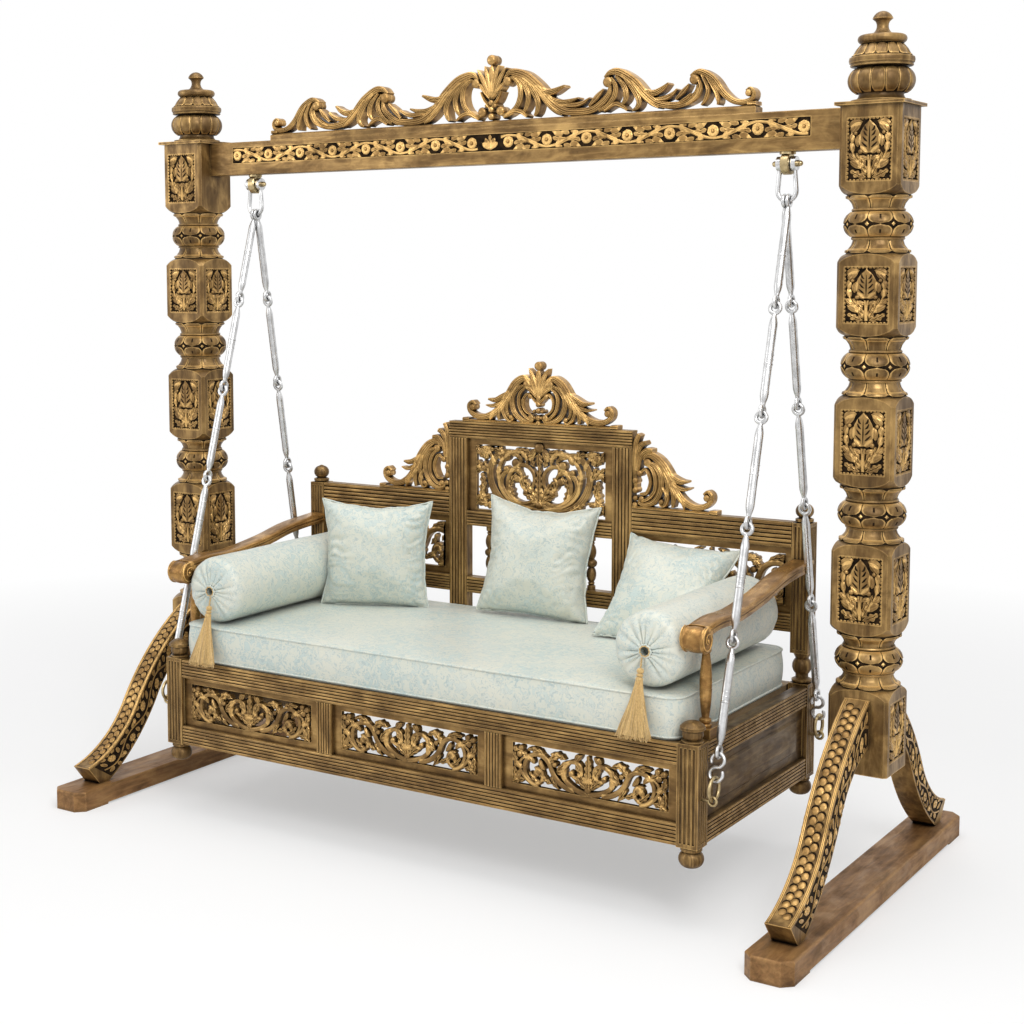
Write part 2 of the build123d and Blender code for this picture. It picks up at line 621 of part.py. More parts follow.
dowels = []
screws = []
for side, name in ((-1, "left"), (1, "right")):
    save(f"foot_{name}", foot(side))
    save(f"brace_front_{name}", brace(side, -1))
    save(f"brace_rear_{name}", brace(side, 1))
    dowels.append(rod_z(DOWEL_R, DOWEL_LOW, POST_TOP, side * DOWEL_X, 0))
    for rise in BRACE_DOWEL_RISES:
        for end in (-1, 1):
            middle = end * BLOCK / 2
            length = BRACE_DOWEL_L - 1
            dowels.append(rod_y(BRACE_DOWEL_R, middle - length, middle + length, side * POST_X, POST_BOTTOM + rise))
    for x, y in screw_places(side):
        head = rod_z(SCREW_HEAD_R, HEAD_Z, HEAD_Z + SCREW_HEAD_H, x, y)
        shank = rod_z(SCREW_R, HEAD_Z + SCREW_HEAD_H, FOOT_H + SCREW_BITE, x, y)
        screws.append(head + shank)
save("stand_dowels", *dowels)
save("brace_screws", *screws)

# ------------------------------------------------------------------ stand: beam and crest
BEAM_EDGE = 2.0
beam = box(-BEAM_HALF, BEAM_HALF, -BEAM_W / 2, BEAM_W / 2, BEAM_LOW, POST_TOP)
beam = chamfer(beam.edges().filter_by(Axis.X), BEAM_EDGE)
vine_z = (BEAM_LOW + POST_TOP) / 2 + 9.0
for end in (-1, 1):
    y0, y1 = sorted((end * (BEAM_W / 2 - VINE_DEPTH), end * (BEAM_W / 2 + 1)))
    beam -= box(-VINE_HALF, VINE_HALF, y0, y1, vine_z - VINE_H / 2, vine_z + VINE_H / 2)
    x0, x1 = sorted((end * BEAM_HALF, end * (BEAM_HALF + TENON_L)))
    beam += box(x0, x1, -TENON_W / 2, TENON_W / 2, TENON_LOW, TENON_LOW + TENON_H)
for end in (-1, 1):
    beam -= rod_z(STEM_R + HOLE_FIT, BEAM_LOW - 1, POST_TOP + 1, end * HANGER_X, 0)
    beam -= rod_z(WELL_R, WELL_Z, POST_TOP + 1, end * HANGER_X, 0)
    beam -= rod_z(DOWEL_R + HOLE_FIT, BEAM_LOW - 1, POST_TOP + 1, end * DOWEL_X, 0)
save("cross_beam", beam)
strip = box(-CREST_HALF, CREST_HALF, -STRIP_W / 2, STRIP_W / 2, POST_TOP, CREST_Z)
save("beam_crest_strip", chamfer(strip.faces().sort_by(Axis.Z)[-1].edges(), 5.0))


def crest(entries, scale):
    """Pattern cut off flat at its base line, with a low foot under its middle."""
    ground = Pos(0, -100 * scale) * Rectangle(2400 * scale, 200 * scale)
    foot = Pos(0, CREST_FOOT_H / 2) * Rectangle(CREST_FOOT_W, CREST_FOOT_H)
    return pattern(entries, scale) - ground + foot


beam_crest = crest(CREST_PATTERN, CREST_HALF / CREST_PATTERN_HALF)
save("beam_crest", upright(beam_crest, 0, -CREST_THICK / 2, CREST_THICK / 2, CREST_Z))

# ------------------------------------------------------------------ hangers
COLLAR_R = 20.0
COLLAR_H = 6.0
nut_z = WELL_Z + WASHER_H
eye_bolts = []
nuts = []
pins = []
bows = []
for side in (-1, 1):
    x = side * HANGER_X
    bolt = rod_x(EYE_R, x - EYE_W / 2, x + EYE_W / 2, 0, PIN_Z)
    bolt = chamfer(bolt.edges().filter_by(GeomType.CIRCLE), 2.0)
    bolt += rod_z(COLLAR_R, BEAM_LOW - COLLAR_H, BEAM_LOW, x, 0)
    bolt += rod_z(STEM_R, PIN_Z + PIN_R + 4, nut_z + NUT_H + STEM_END, x, 0)
    bolt -= rod_x(PIN_R + RUN_FIT, x - EYE_W, x + EYE_W, 0, PIN_Z)
    eye_bolts.append(bolt)
    washer = rod_z(WASHER_R, WELL_Z, nut_z, x, 0)
    nut = Pos(x, 0, nut_z) * extrude(RegularPolygon(NUT_R, 6), NUT_H)
    bore = rod_z(STEM_R + HOLE_FIT, WELL_Z, nut_z + NUT_H, x, 0)
    nuts += [washer - bore, nut - bore]
    pin = rod_x(PIN_R, x - PIN_HALF, x + PIN_HALF, 0, PIN_Z)
    for end in (-1, 1):
        pin += Pos(x + end * (PIN_HALF + 0.4 * BALL_R), 0, PIN_Z) * Sphere(BALL_R)
    pins.append(pin)
    reach = math.hypot(EAR_X, BOW_DEPTH - BOW_LEG_Z)
    spread = math.atan2(BOW_DEPTH - BOW_LEG_Z, EAR_X) - math.acos(BOW_R / reach)
    foot_x = BOW_R * math.cos(spread)
    foot_z = BOW_R * math.sin(spread) - BOW_DEPTH
    path = Wire([
        Line((-EAR_X, -BOW_LEG_Z), (-foot_x, foot_z)),
        ThreePointArc((-foot_x, foot_z), (0, -BOW_DEPTH - BOW_R), (foot_x, foot_z)),
        Line((foot_x, foot_z), (EAR_X, -BOW_LEG_Z)),
    ])
    path = Pos(x, 0, PIN_Z) * (Plane.XZ * path)
    bow = sweep(Plane(origin=path @ 0, z_dir=path % 0) * Circle(BOW_WIRE), path=path)
    for end in (-1, 1):
        ear_x = x + end * EAR_X
        bow += rod_x(EAR_R, ear_x - EAR_W / 2, ear_x + EAR_W / 2, 0, PIN_Z)
    bow -= rod_x(PIN_R + RUN_FIT, x - 2 * EAR_X, x + 2 * EAR_X, 0, PIN_Z)
    bows.append(bow)
save("hanger_eye_bolts", *eye_bolts)
save("hanger_nuts", *nuts)
save("shackle_pins", *pins)
save("shackle_bows", *bows)

# ------------------------------------------------------------------ chains
LINK_STEP = 2 * (LINK_R - LINK_WIRE) - LINK_PLAY
HOOK_IN = LINK_R - LINK_WIRE - HOOK_WIRE - LINK_PLAY / 2
RING_IN = RING_WIRE + HOOK_WIRE + LINK_PLAY / 2


def chain_rod(pitch, crossed):
    """Rod with an eye at both ends, hanging from the middle of its top eye."""
    eye = Rot(0, 90, 0) * Torus(LINK_R, LINK_WIRE)
    top = Rot(90, 0, 0) * Torus(LINK_R, LINK_WIRE) if crossed else eye
    low = pitch - LINK_R
    bar = turned([
        (5.2, -low), (6.2, -low + 8), (9.5, -low + 20, ROD_R, -low + 40),
        (ROD_R, -LINK_R - 40), (9.5, -LINK_R - 20, 6.2, -LINK_R - 8), (5.2, -LINK_R),
    ])
    return Part() + [top, bar, Pos(0, 0, -pitch) * eye]


def ring_point(centre, radius, angle):
    """Point of a circle in a drawing."""
    a = math.radians(angle)
    return centre[0] + radius * math.cos(a), centre[1] + radius * math.sin(a)


def s_hook():
    """Open S of round wire, hanging from the top of its upper bend."""
    high = (0, -HOOK_R)
    low = (0, -3 * HOOK_R)
    path = Wire([
        ThreePointArc(*[ring_point(high, HOOK_R, angle) for angle in (200, 55, -90)]),
        ThreePointArc(*[ring_point(low, HOOK_R, angle) for angle in (90, 235, 380)]),
    ])
    path = Plane.XZ * path
    hook = sweep(Plane(origin=path @ 0, z_dir=path % 0) * Circle(HOOK_WIRE), path=path)
    return Part() + [hook, Pos(path @ 0) * Sphere(HOOK_WIRE), Pos(path @ 1) * Sphere(HOOK_WIRE)]


screw_eyes = []
rings = []
eye_x = OUTER_X + SCREW_EYE_OUT
drop = FIRST_EYE_Z - SCREW_EYE_Z
for side, name in ((-1, "left"), (1, "right")):
    for end, seat_y, step in (("front", FRONT_Y, CHAIN_STEP), ("rear", REAR_Y, -CHAIN_STEP)):
        top_x = HANGER_X + step
        lean = math.atan2(seat_y, math.hypot(eye_x - top_x, drop))
        splay = math.atan2(eye_x - top_x, drop)
        ring_gap = SCREW_EYE_R - (SCREW_EYE_WIRE + RING_WIRE + RING_PLAY) / math.cos(lean)
        length = math.hypot(eye_x - top_x, seat_y, drop) - ring_gap
        fixed = (ROD_COUNT - 1) * LINK_STEP + HOOK_IN + 4 * HOOK_R - RING_IN + 2 * RING_R
        pitch = (length - fixed) / ROD_COUNT
        place = Pos(side * top_x, 0, FIRST_EYE_Z) * Rot(0, -side * math.degrees(splay), 0)
        place = place * Rot(math.degrees(lean), 0, 0)
        links = []
        down = 0.0
        for k in range(ROD_COUNT):
            links.append(place * Pos(0, 0, -down) * chain_rod(pitch, k > 0))
            down += pitch + LINK_STEP
        down += HOOK_IN - LINK_STEP
        links.append(place * Pos(0, 0, -down) * s_hook())
        down += 4 * HOOK_R - RING_IN + RING_R
        save(f"chain_{end}_{name}", *links)
        rings.append(place * Pos(0, 0, -down) * Rot(0, 90, 0) * Torus(RING_R, RING_WIRE))
        eye = Pos(side * eye_x, seat_y, SCREW_EYE_Z) * Rot(90, 0, 0) * Torus(SCREW_EYE_R, SCREW_EYE_WIRE)
        x0, x1 = sorted((side * (OUTER_X - SHANK_L), side * (eye_x - SCREW_EYE_R)))
        screw_eyes.append(eye + rod_x(SHANK_R, x0, x1, seat_y, SCREW_EYE_Z))
save("seat_rings", *rings)
save("ring_screw_eyes", *screw_eyes)

# ------------------------------------------------------------------ seat: corner posts
FLUTES = 4
FLUTE_MARGIN = 10.0


def fluted(width, z0, z1):
    """Square upright with four grooves on each face and plain ends."""
    half = width / 2
    plain = Rectangle(width, width)
    grooved = lined(-half, half, -half, half, ["u0", "u1", "v0", "v1"], FLUTES, FLUTE_R * width / LEG)
    return Part() + [
        Pos(0, 0, z0) * extrude(plain, FLUTE_MARGIN),
        Pos(0, 0, z0 + FLUTE_MARGIN) * extrude(grooved, z1 - z0 - 2 * FLUTE_MARGIN),
        Pos(0, 0, z1 - FLUTE_MARGIN) * extrude(plain, FLUTE_MARGIN),
    ]


def bun(z):
    """Turned foot under a corner post, from its underside at z down."""
    low = z - FOOT_BUN_H
    return turned([
        (14, low), (FOOT_BUN_R, low + 20, 22, low + 38), (26, low + 42), (26, low + 47), (24, z),
    ])


def front_corner_post():
    """Fluted square with a bun foot and a turned knob."""
    r = KNOB_R
    z = LEG_TOP
    knob = turned([
        (0.9 * r, z), (0.9 * r, z + 5), (0.68 * r, z + 8), (0.85 * r, z + 18, 0.8 * r, z + 28),
        (r, z + 32), (r, z + 39), dome(r, z + 39, z + KNOB_H),
    ])
    return Part() + [bun(LEG_BOTTOM), fluted(LEG, LEG_BOTTOM, LEG_TOP), knob]


def rear_corner_post():
    """Lower square, turned ball, upper square and knob."""
    z0 = LEG_TOP + 4
    z1 = z0 + 81
    z2 = REAR_LEG_TOP
    r = REAR_BALL_R
    mid = (z0 + z1) / 2 + 4
    ball = turned([
        (24, z0), (27, z0 + 5), (27, z0 + 9), (17, z0 + 14), (17, mid - 0.8 * r),
        (r, mid, 17, mid + 0.8 * r), (22, z1 - 6), (24, z1),
    ])
    knob = turned([
        (20, z2), (24, z2 + 4), (24, z2 + 10), (14, z2 + 14), (24, z2 + 32, 8, z2 + REAR_KNOB_H - 3),
        dome(8, z2 + REAR_KNOB_H - 3, z2 + REAR_KNOB_H),
    ])
    return Part() + [bun(LEG_BOTTOM), fluted(LEG, LEG_BOTTOM, z0), ball, fluted(REAR_LEG, z1, z2), knob]


# ------------------------------------------------------------------ seat: rails with tenons
def rail_x(x0, x1, y0, y1, z0, z1, sides, count, ends=(True, True)):
    """Grooved rail along X. Gives the rail and the boxes of its tenons."""
    body = extrude(Plane.YZ.offset(x0) * lined(y0, y1, z0, z1, sides, count, REED_R), x1 - x0)
    mid = (y0 + y1) / 2
    spots = [(x0 - JOINT_L, x0), (x1, x1 + JOINT_L)]
    tenons = [box(a, b, mid - JOINT_THICK / 2, mid + JOINT_THICK / 2, z0 + JOINT_SHY, z1 - JOINT_SHY)
              for (a, b), wanted in zip(spots, ends) if wanted]
    return Part() + [body, *tenons], tenons


def rail_y(y0, y1, x0, x1, z0, z1, sides, count):
    """Grooved rail along Y. Gives the rail and the boxes of its tenons."""
    body = extrude(Plane.XZ.offset(-y1) * lined(x0, x1, z0, z1, sides, count, REED_R), y1 - y0)
    mid = (x0 + x1) / 2
    tenons = [box(mid - JOINT_THICK / 2, mid + JOINT_THICK / 2, a, b, z0 + JOINT_SHY, z1 - JOINT_SHY)
              for a, b in ((y0 - JOINT_L, y0), (y1, y1 + JOINT_L))]
    return Part() + [body, *tenons], tenons


RAIL_BACK = RAIL_FRONT + RAIL_THICK
BOARD_Y = RAIL_FRONT + BOARD_SET
TOP_REEDS = 5
LOW_REEDS = 5
front_top, front_top_tenons = rail_x(
    -INNER_X, INNER_X, RAIL_FRONT, RAIL_BACK, TOP_RAIL_Z, SEAT_TOP, ["u0"], TOP_REEDS)
front_low, front_low_tenons = rail_x(
    -INNER_X, INNER_X, RAIL_FRONT, RAIL_BACK, LOW_RAIL_Z, LOW_RAIL_TOP, ["u0"], LOW_REEDS)
rear_top, rear_top_tenons = rail_x(
    -INNER_X, INNER_X, BACK_FRONT, BACK_REAR, TOP_RAIL_Z, SEAT_TOP, ["u1"], TOP_REEDS)
rear_low, rear_low_tenons = rail_x(
    -INNER_X, INNER_X, BACK_FRONT, BACK_REAR, LOW_RAIL_Z, LOW_RAIL_TOP, ["u1"], LOW_REEDS)
SIDE_IN_X = RAIL_OUT_X - RAIL_THICK
side_top, side_top_tenons = rail_y(
    FRONT_IN, REAR_IN, SIDE_IN_X, RAIL_OUT_X, TOP_RAIL_Z, SEAT_TOP, ["u1"], TOP_REEDS)
side_low, side_low_tenons = rail_y(
    FRONT_IN, REAR_IN, SIDE_IN_X, RAIL_OUT_X, LOW_RAIL_Z, LOW_RAIL_TOP, ["u1"], LOW_REEDS)

# boards, each held in grooves all round
muntin = extrude(
    Pos(0, 0, LOW_RAIL_TOP) * lined(
        MUNTIN_X - MUNTIN_W / 2, MUNTIN_X + MUNTIN_W / 2, RAIL_FRONT, RAIL_BACK, ["v0"], TOP_REEDS, REED_R),
    TOP_RAIL_Z - LOW_RAIL_TOP)
muntins = [muntin, mirror(muntin, Plane.YZ)]
BAY_H = TOP_RAIL_Z - LOW_RAIL_TOP
BAY_Z = (TOP_RAIL_Z + LOW_RAIL_TOP) / 2
bays = [
    (-INNER_X, -MUNTIN_X - MUNTIN_W / 2),
    (-MUNTIN_X + MUNTIN_W / 2, MUNTIN_X - MUNTIN_W / 2),
    (MUNTIN_X + MUNTIN_W / 2, INNER_X),
]
front_boards = []
front_blanks = []
for x0, x1 in bays:
    width = x1 - x0
    field_w = width - 2 * FIELD_SIDE
    carving = pattern(FRONT_PATTERN, field_w / 2 / FRONT_PATTERN_HALF)
    board = carved_board(width + 2 * GROOVE, BAY_H + 2 * GROOVE, field_w, BAY_H - 2 * FIELD_END, 0, carving)
    front_boards.append(upright(board, (x0 + x1) / 2, BOARD_Y, BOARD_Y + BOARD, BAY_Z))
    front_blanks.append(box(x0 - GROOVE, x1 + GROOVE, BOARD_Y, BOARD_Y + BOARD,
                            LOW_RAIL_TOP - GROOVE, TOP_RAIL_Z + GROOVE))
SIDE_BOARD_X = RAIL_OUT_X - BOARD_SET
side_blank = box(SIDE_BOARD_X - BOARD, SIDE_BOARD_X, FRONT_IN - GROOVE, REAR_IN + GROOVE,
                 LOW_RAIL_TOP - GROOVE, TOP_RAIL_Z + GROOVE)
raised = box(SIDE_BOARD_X, SIDE_BOARD_X + BOARD_SET / 2, FRONT_IN + 45, REAR_IN - 45,
             LOW_RAIL_TOP + 26, TOP_RAIL_Z - 26)
raised = chamfer(raised.faces().sort_by(Axis.X)[-1].edges(), BOARD_SET / 2 - 0.5)
side_board = side_blank + raised
REAR_BOARD_Y = BACK_REAR - BOARD_SET
rear_blank = box(-INNER_X - GROOVE, INNER_X + GROOVE, REAR_BOARD_Y - BOARD, REAR_BOARD_Y,
                 LOW_RAIL_TOP - GROOVE, TOP_RAIL_Z + GROOVE)

# seat back
BACK_REEDS = 5
BACK_BOARD_Y = BACK_FRONT + BOARD_SET
side_rails_back = []
back_tenons = []
for z0, z1 in ((BACK_LOW, BACK_LOW_TOP), (BACK_SIDE_LOW, BACK_SIDE_TOP)):
    rail, tenons = rail_x(STILE_OUT, REAR_INNER_X, BACK_FRONT, BACK_REAR, z0, z1, ["u0", "u1"], BACK_REEDS)
    side_rails_back += [rail, mirror(rail, Plane.YZ)]
    back_tenons += tenons
centre_rails = []
stile_tenons = []
for z0, z1 in ((BACK_LOW, BACK_LOW_TOP), (BACK_MID, BACK_MID_TOP)):
    rail, tenons = rail_x(-STILE_IN, STILE_IN, BACK_FRONT, BACK_REAR, z0, z1, ["u0", "u1"], BACK_REEDS - 1)
    centre_rails.append(rail)
    stile_tenons.append(tenons[1])
top_rail, _ = rail_x(-STILE_OUT, STILE_OUT, BACK_FRONT, BACK_REAR, BACK_CENTRE_LOW, BACK_CENTRE_TOP,
                     ["u0", "u1"], BACK_REEDS, (False, False))
centre_rails.append(top_rail)
stile = extrude(
    Pos(0, 0, SEAT_TOP) * lined(STILE_IN, STILE_OUT, BACK_FRONT, BACK_REAR, ["v0", "v1"], BACK_REEDS, REED_R),
    BACK_CENTRE_LOW - SEAT_TOP)
centre_blank = box(-STILE_IN - GROOVE, STILE_IN + GROOVE, BACK_BOARD_Y, BACK_BOARD_Y + BOARD,
                   BACK_MID_TOP - GROOVE, BACK_CENTRE_LOW + GROOVE)
CENTRE_FIELD_W = 2 * STILE_IN - 56
CENTRE_FIELD_H = 194.0
CENTRE_FIELD_Y = -6.0
centre_h = BACK_CENTRE_LOW - BACK_MID_TOP
centre_board = carved_board(
    2 * (STILE_IN + GROOVE), centre_h + 2 * GROOVE, CENTRE_FIELD_W, CENTRE_FIELD_H, CENTRE_FIELD_Y,
    pattern(BACK_PATTERN, CENTRE_FIELD_W / 2 / BACK_PATTERN_HALF))
centre_board = upright(centre_board, 0, BACK_BOARD_Y, BACK_BOARD_Y + BOARD, (BACK_CENTRE_LOW + BACK_MID_TOP) / 2)
side_w = REAR_INNER_X - STILE_OUT
side_h = BACK_SIDE_LOW - BACK_LOW_TOP
SIDE_FIELD_W = side_w - 43
SIDE_FIELD_H = side_h - 40
SIDE_SCALE = 1.36
side_carving = carved_board(
    side_w + 2 * GROOVE, side_h + 2 * GROOVE, SIDE_FIELD_W, SIDE_FIELD_H, 0,
    pattern(FRONT_PATTERN, SIDE_SCALE * SIDE_FIELD_W / 2 / FRONT_PATTERN_HALF))
side_back_board = upright(side_carving, (REAR_INNER_X + STILE_OUT) / 2, BACK_BOARD_Y, BACK_BOARD_Y + BOARD,
                          (BACK_SIDE_LOW + BACK_LOW_TOP) / 2)
side_back_blank = box(STILE_OUT - GROOVE, REAR_INNER_X + GROOVE, BACK_BOARD_Y, BACK_BOARD_Y + BOARD,
                      BACK_LOW_TOP - GROOVE, BACK_SIDE_LOW + GROOVE)
side_rails_back = [rail - [side_back_blank, mirror(side_back_blank, Plane.YZ)] for rail in side_rails_back]
centre_rails = [rail - centre_blank for rail in centre_rails]
stile = stile - [centre_blank, side_back_blank, *stile_tenons, *back_tenons]


def spindle(x):
    """Turned spindle of the open bay below the carved centre."""
    z0 = BACK_LOW_TOP
    z1 = BACK_MID
    mid = (z0 + z1) / 2
    r = SPINDLE_R
    return turned([
        (0.8 * r, z0), (0.8 * r, z0 + 12), (0.5 * r, z0 + 16), (0.7 * r, z0 + 20), (0.5 * r, z0 + 24),
        (0.85 * r, mid - 22, 0.55 * r, mid - 12), (r, mid - 6, r, mid + 6), (0.55 * r, mid + 12),
        (0.85 * r, mid + 22, 0.5 * r, z1 - 24), (0.7 * r, z1 - 20), (0.5 * r, z1 - 16),
        (0.8 * r, z1 - 12), (0.8 * r, z1),
    ], x, (BACK_FRONT + BACK_REAR) / 2)


save("front_top_rail", front_top - front_blanks)
save("front_bottom_rail", front_low - front_blanks)
save("front_muntins", *[piece - front_blanks for piece in muntins])
save("front_carved_boards", *front_boards)
save("rear_rails", rear_top - rear_blank, rear_low - rear_blank)
save("rear_board", rear_blank)
side_rails = [side_top - side_blank, side_low - side_blank]
save("side_rails", *side_rails, *[mirror(rail, Plane.YZ) for rail in side_rails])
save("side_boards", side_board, mirror(side_board, Plane.YZ))
save("back_side_rails", *side_rails_back)
save("back_centre_rails", *centre_rails)
save("back_stiles", stile, mirror(stile, Plane.YZ))
save("back_centre_board", centre_board)
save("back_side_boards", side_back_board, mirror(side_back_board, Plane.YZ))
save("back_spindles", *[spindle(k * SPINDLE_GAP) for k in range(-2, 3)])
crest_y = (BACK_FRONT + BACK_REAR - BACK_CREST_THICK) / 2
back_crest = crest(BACK_CREST_PATTERN, 1.0)
save("back_crest", upright(back_crest, 0, crest_y, crest_y + BACK_CREST_THICK, BACK_CENTRE_TOP))
quadrant = Pos(WING_LENGTH, WING_LENGTH) * Rectangle(2 * WING_LENGTH, 2 * WING_LENGTH)
wing = pattern(WING_PATTERN, mirrored=False) & quadrant
wing = upright(wing, STILE_OUT, crest_y, crest_y + BACK_CREST_THICK, BACK_SIDE_TOP)
save("back_wings", wing, mirror(wing, Plane.YZ))

# corner posts, mortised for the rails, boards and ring screw eyes
front_post = Pos(SEAT_X, FRONT_Y, 0) * front_corner_post()
front_post -= [front_top_tenons[1], front_low_tenons[1], front_blanks[2], side_blank,
               side_top_tenons[0], side_low_tenons[0],
               rod_x(SHANK_R + HOLE_FIT, OUTER_X - SHANK_L - 1, OUTER_X + 1, FRONT_Y, SCREW_EYE_Z)]
rear_post = Pos(SEAT_X, REAR_Y, 0) * rear_corner_post()
rear_post -= [rear_top_tenons[1], rear_low_tenons[1], rear_blank, side_blank, side_back_blank,
              side_top_tenons[1], side_low_tenons[1], *back_tenons,
              rod_x(SHANK_R + HOLE_FIT, OUTER_X - SHANK_L - 1, OUTER_X + 1, REAR_Y, SCREW_EYE_Z)]
save("front_corner_posts", front_post, mirror(front_post, Plane.YZ))
save("rear_corner_posts", rear_post, mirror(rear_post, Plane.YZ))

# ------------------------------------------------------------------ seat: arms
ARM_REAR_Z = 788.0
ARM_FRONT_Z = 734.0
ARM_MID_Z = 751.0
arm_y = [REAR_Y - REAR_LEG / 2, 81.0, -47.0, -200.0, -317.0, FRONT_Y + 19]
arm_z = [ARM_REAR_Z, ARM_REAR_Z - 13, ARM_MID_Z, ARM_FRONT_Z - 2, ARM_FRONT_Z, ARM_FRONT_Z - 8]


def arm():
    """Arm with a falling top line that rolls over into a scroll at the front."""
    upper = Spline(*zip(arm_y, arm_z))
    lower = Spline(*[(y, z - ARM_THICK) for y, z in zip(arm_y, arm_z)])
    side_view = make_face([upper, Line(upper @ 1, lower @ 1), lower, Line(lower @ 0, upper @ 0)])
    bar = extrude(Plane.YZ * side_view, ARM_W / 2, both=True)
    roll = rod_x(SCROLL_R, -ARM_W / 2, ARM_W / 2, arm_y[-1] - 4, arm_z[-1] - SCROLL_R)
    return Pos(SEAT_X, 0, 0) * (bar + roll)


PLINTH_H = 24.0
right_arm = arm()
plinth = box(SEAT_X - 22, SEAT_X + 22, BALUSTER_Y - 22, BALUSTER_Y + 50, SEAT_TOP, SEAT_TOP + PLINTH_H)
z = SEAT_TOP + PLINTH_H
top = ARM_FRONT_Z
r = BALUSTER_R
baluster = turned([
    (r, z), (r, z + 6), (0.75 * r, z + 9), (0.95 * r, z + 14), (0.95 * r, z + 19), (0.6 * r, z + 23),
    (r, z + 86, 0.6 * r, top - 82), (0.85 * r, top - 76), (0.85 * r, top - 70), (0.65 * r, top - 66),
    (0.8 * r, top - 40), (0.8 * r, top),
], SEAT_X, BALUSTER_Y) - right_arm
baluster = baluster.solids().sort_by(Axis.Z)[0] + plinth
save("arm_right", right_arm)
save("arm_left", mirror(right_arm, Plane.YZ))
save("arm_balusters", baluster, mirror(baluster, Plane.YZ))

# ------------------------------------------------------------------ seat: deck
slat_z = SEAT_TOP - SLAT_THICK
ledgers = [
    box(-INNER_X, INNER_X, RAIL_BACK, RAIL_BACK + LEDGER, slat_z - LEDGER, slat_z),
    box(-INNER_X, INNER_X, BACK_FRONT - LEDGER, BACK_FRONT, slat_z - LEDGER, slat_z),
]
slats = []
slat_edge = INNER_X - SLAT_W / 2 - 4
for k in range(SLAT_COUNT):
    x = -slat_edge + 2 * slat_edge * k / (SLAT_COUNT - 1)
    slats.append(box(x - SLAT_W / 2, x + SLAT_W / 2, RAIL_BACK, BACK_FRONT, slat_z, SEAT_TOP))
save("deck_ledgers", *ledgers)
save("deck_slats", *slats)

# ------------------------------------------------------------------ soft goods
MATTRESS_EDGE = 14.0
MATTRESS_FRONT = RAIL_FRONT + 8
MATTRESS_REAR = BACK_FRONT - 10
mattress_x = INNER_X - 0.5
plan = Pos(0, (MATTRESS_FRONT + MATTRESS_REAR) / 2) * RectangleRounded(
    2 * mattress_x, MATTRESS_REAR - MATTRESS_FRONT, MATTRESS_CORNER)
mattress = Pos(0, 0, MATTRESS_Z) * extrude(plan, MATTRESS_H)
mattress = fillet(mattress.faces().sort_by(Axis.Z)[0].edges() + mattress.faces().sort_by(Axis.Z)[-1].edges(),
                  MATTRESS_EDGE)
save("mattress", mattress)


def bolster(side):
    """Round bolster along Y with a drawn-in hole at each end."""
    x = side * BOLSTER_X
    roll = rod_y(BOLSTER_R, BOLSTER_Y0, BOLSTER_Y1, x, BOLSTER_Z)
    roll = fillet(roll.edges().filter_by(GeomType.CIRCLE), BOLSTER_EDGE)
    for y0, y1 in ((BOLSTER_Y0, BOLSTER_Y0 + BOLSTER_HOLE), (BOLSTER_Y1 - BOLSTER_HOLE, BOLSTER_Y1)):
        roll -= rod_y(BOLSTER_HOLE_R, y0, y1, x, BOLSTER_Z)
    return roll


def pillow(width, height, front, back):
    """Square cushion with drawn-in sides, standing on edge and facing the front."""
    def outline(scale, pinch):
        w = scale * width / 2
        h = scale * height / 2
        return make_face([
            ThreePointArc((-w, -h), (0, -h + pinch), (w, -h)), ThreePointArc((w, -h), (w - pinch, 0), (w, h)),
            ThreePointArc((w, h), (0, h - pinch), (-w, h)), ThreePointArc((-w, h), (-w + pinch, 0), (-w, -h)),
        ])
    halves = []
    for depth in (front, -back):
        rings = [outline(1.0, 12.0), Pos(0, 0, 0.62 * depth) * outline(0.8, 8.0), Pos(0, 0, depth) * outline(0.42, 1.0)]
        halves.append(loft(rings, ruled=True))
    return Rot(90, 0, 0) * (halves[0] + halves[1])


def leaning(body, x, y, yaw, lean, roll):
    """Cushion turned, leaned back, and set down on the mattress in front of the back frame."""
    body = Rot(0, 0, yaw) * (Rot(-lean, 0, 0) * (Rot(0, roll, 0) * body))
    limits = body.bounding_box()
    if y is None:
        y = BACK_FRONT - SOFT_GAP - limits.max.Y
    body = Pos(x, y, MATTRESS_TOP + SOFT_GAP - limits.min.Z) * body
    for side in (-1, 1):
        body -= rod_y(BOLSTER_R + SOFT_GAP, BOLSTER_Y0, BOLSTER_Y1 + SOFT_GAP, side * BOLSTER_X, BOLSTER_Z)
    return body.solids().sort_by(SortBy.VOLUME)[-1]


save("bolster_left", bolster(-1))
save("bolster_right", bolster(1))
PILLOW = 325.0             # height of each cushion, flat
LEFT_PILLOW_X = 226.7 - BOLSTER_X
LEFT_PILLOW_Y = BACK_FRONT - 174
RIGHT_PILLOW_X = BOLSTER_X - 212.7
save("cushion_left", leaning(pillow(PILLOW - 5, PILLOW - 15, 54, 50), LEFT_PILLOW_X, LEFT_PILLOW_Y, 25.0, 5.0, 1.0))
save("cushion_centre", leaning(pillow(PILLOW + 10, PILLOW, 74, 30), 34.0, None, 7.0, 11.0, 3.0))
save("cushion_right", leaning(pillow(PILLOW - 5, PILLOW - 10, 60, 44), RIGHT_PILLOW_X, None, 4.0, 40.0, 4.0))


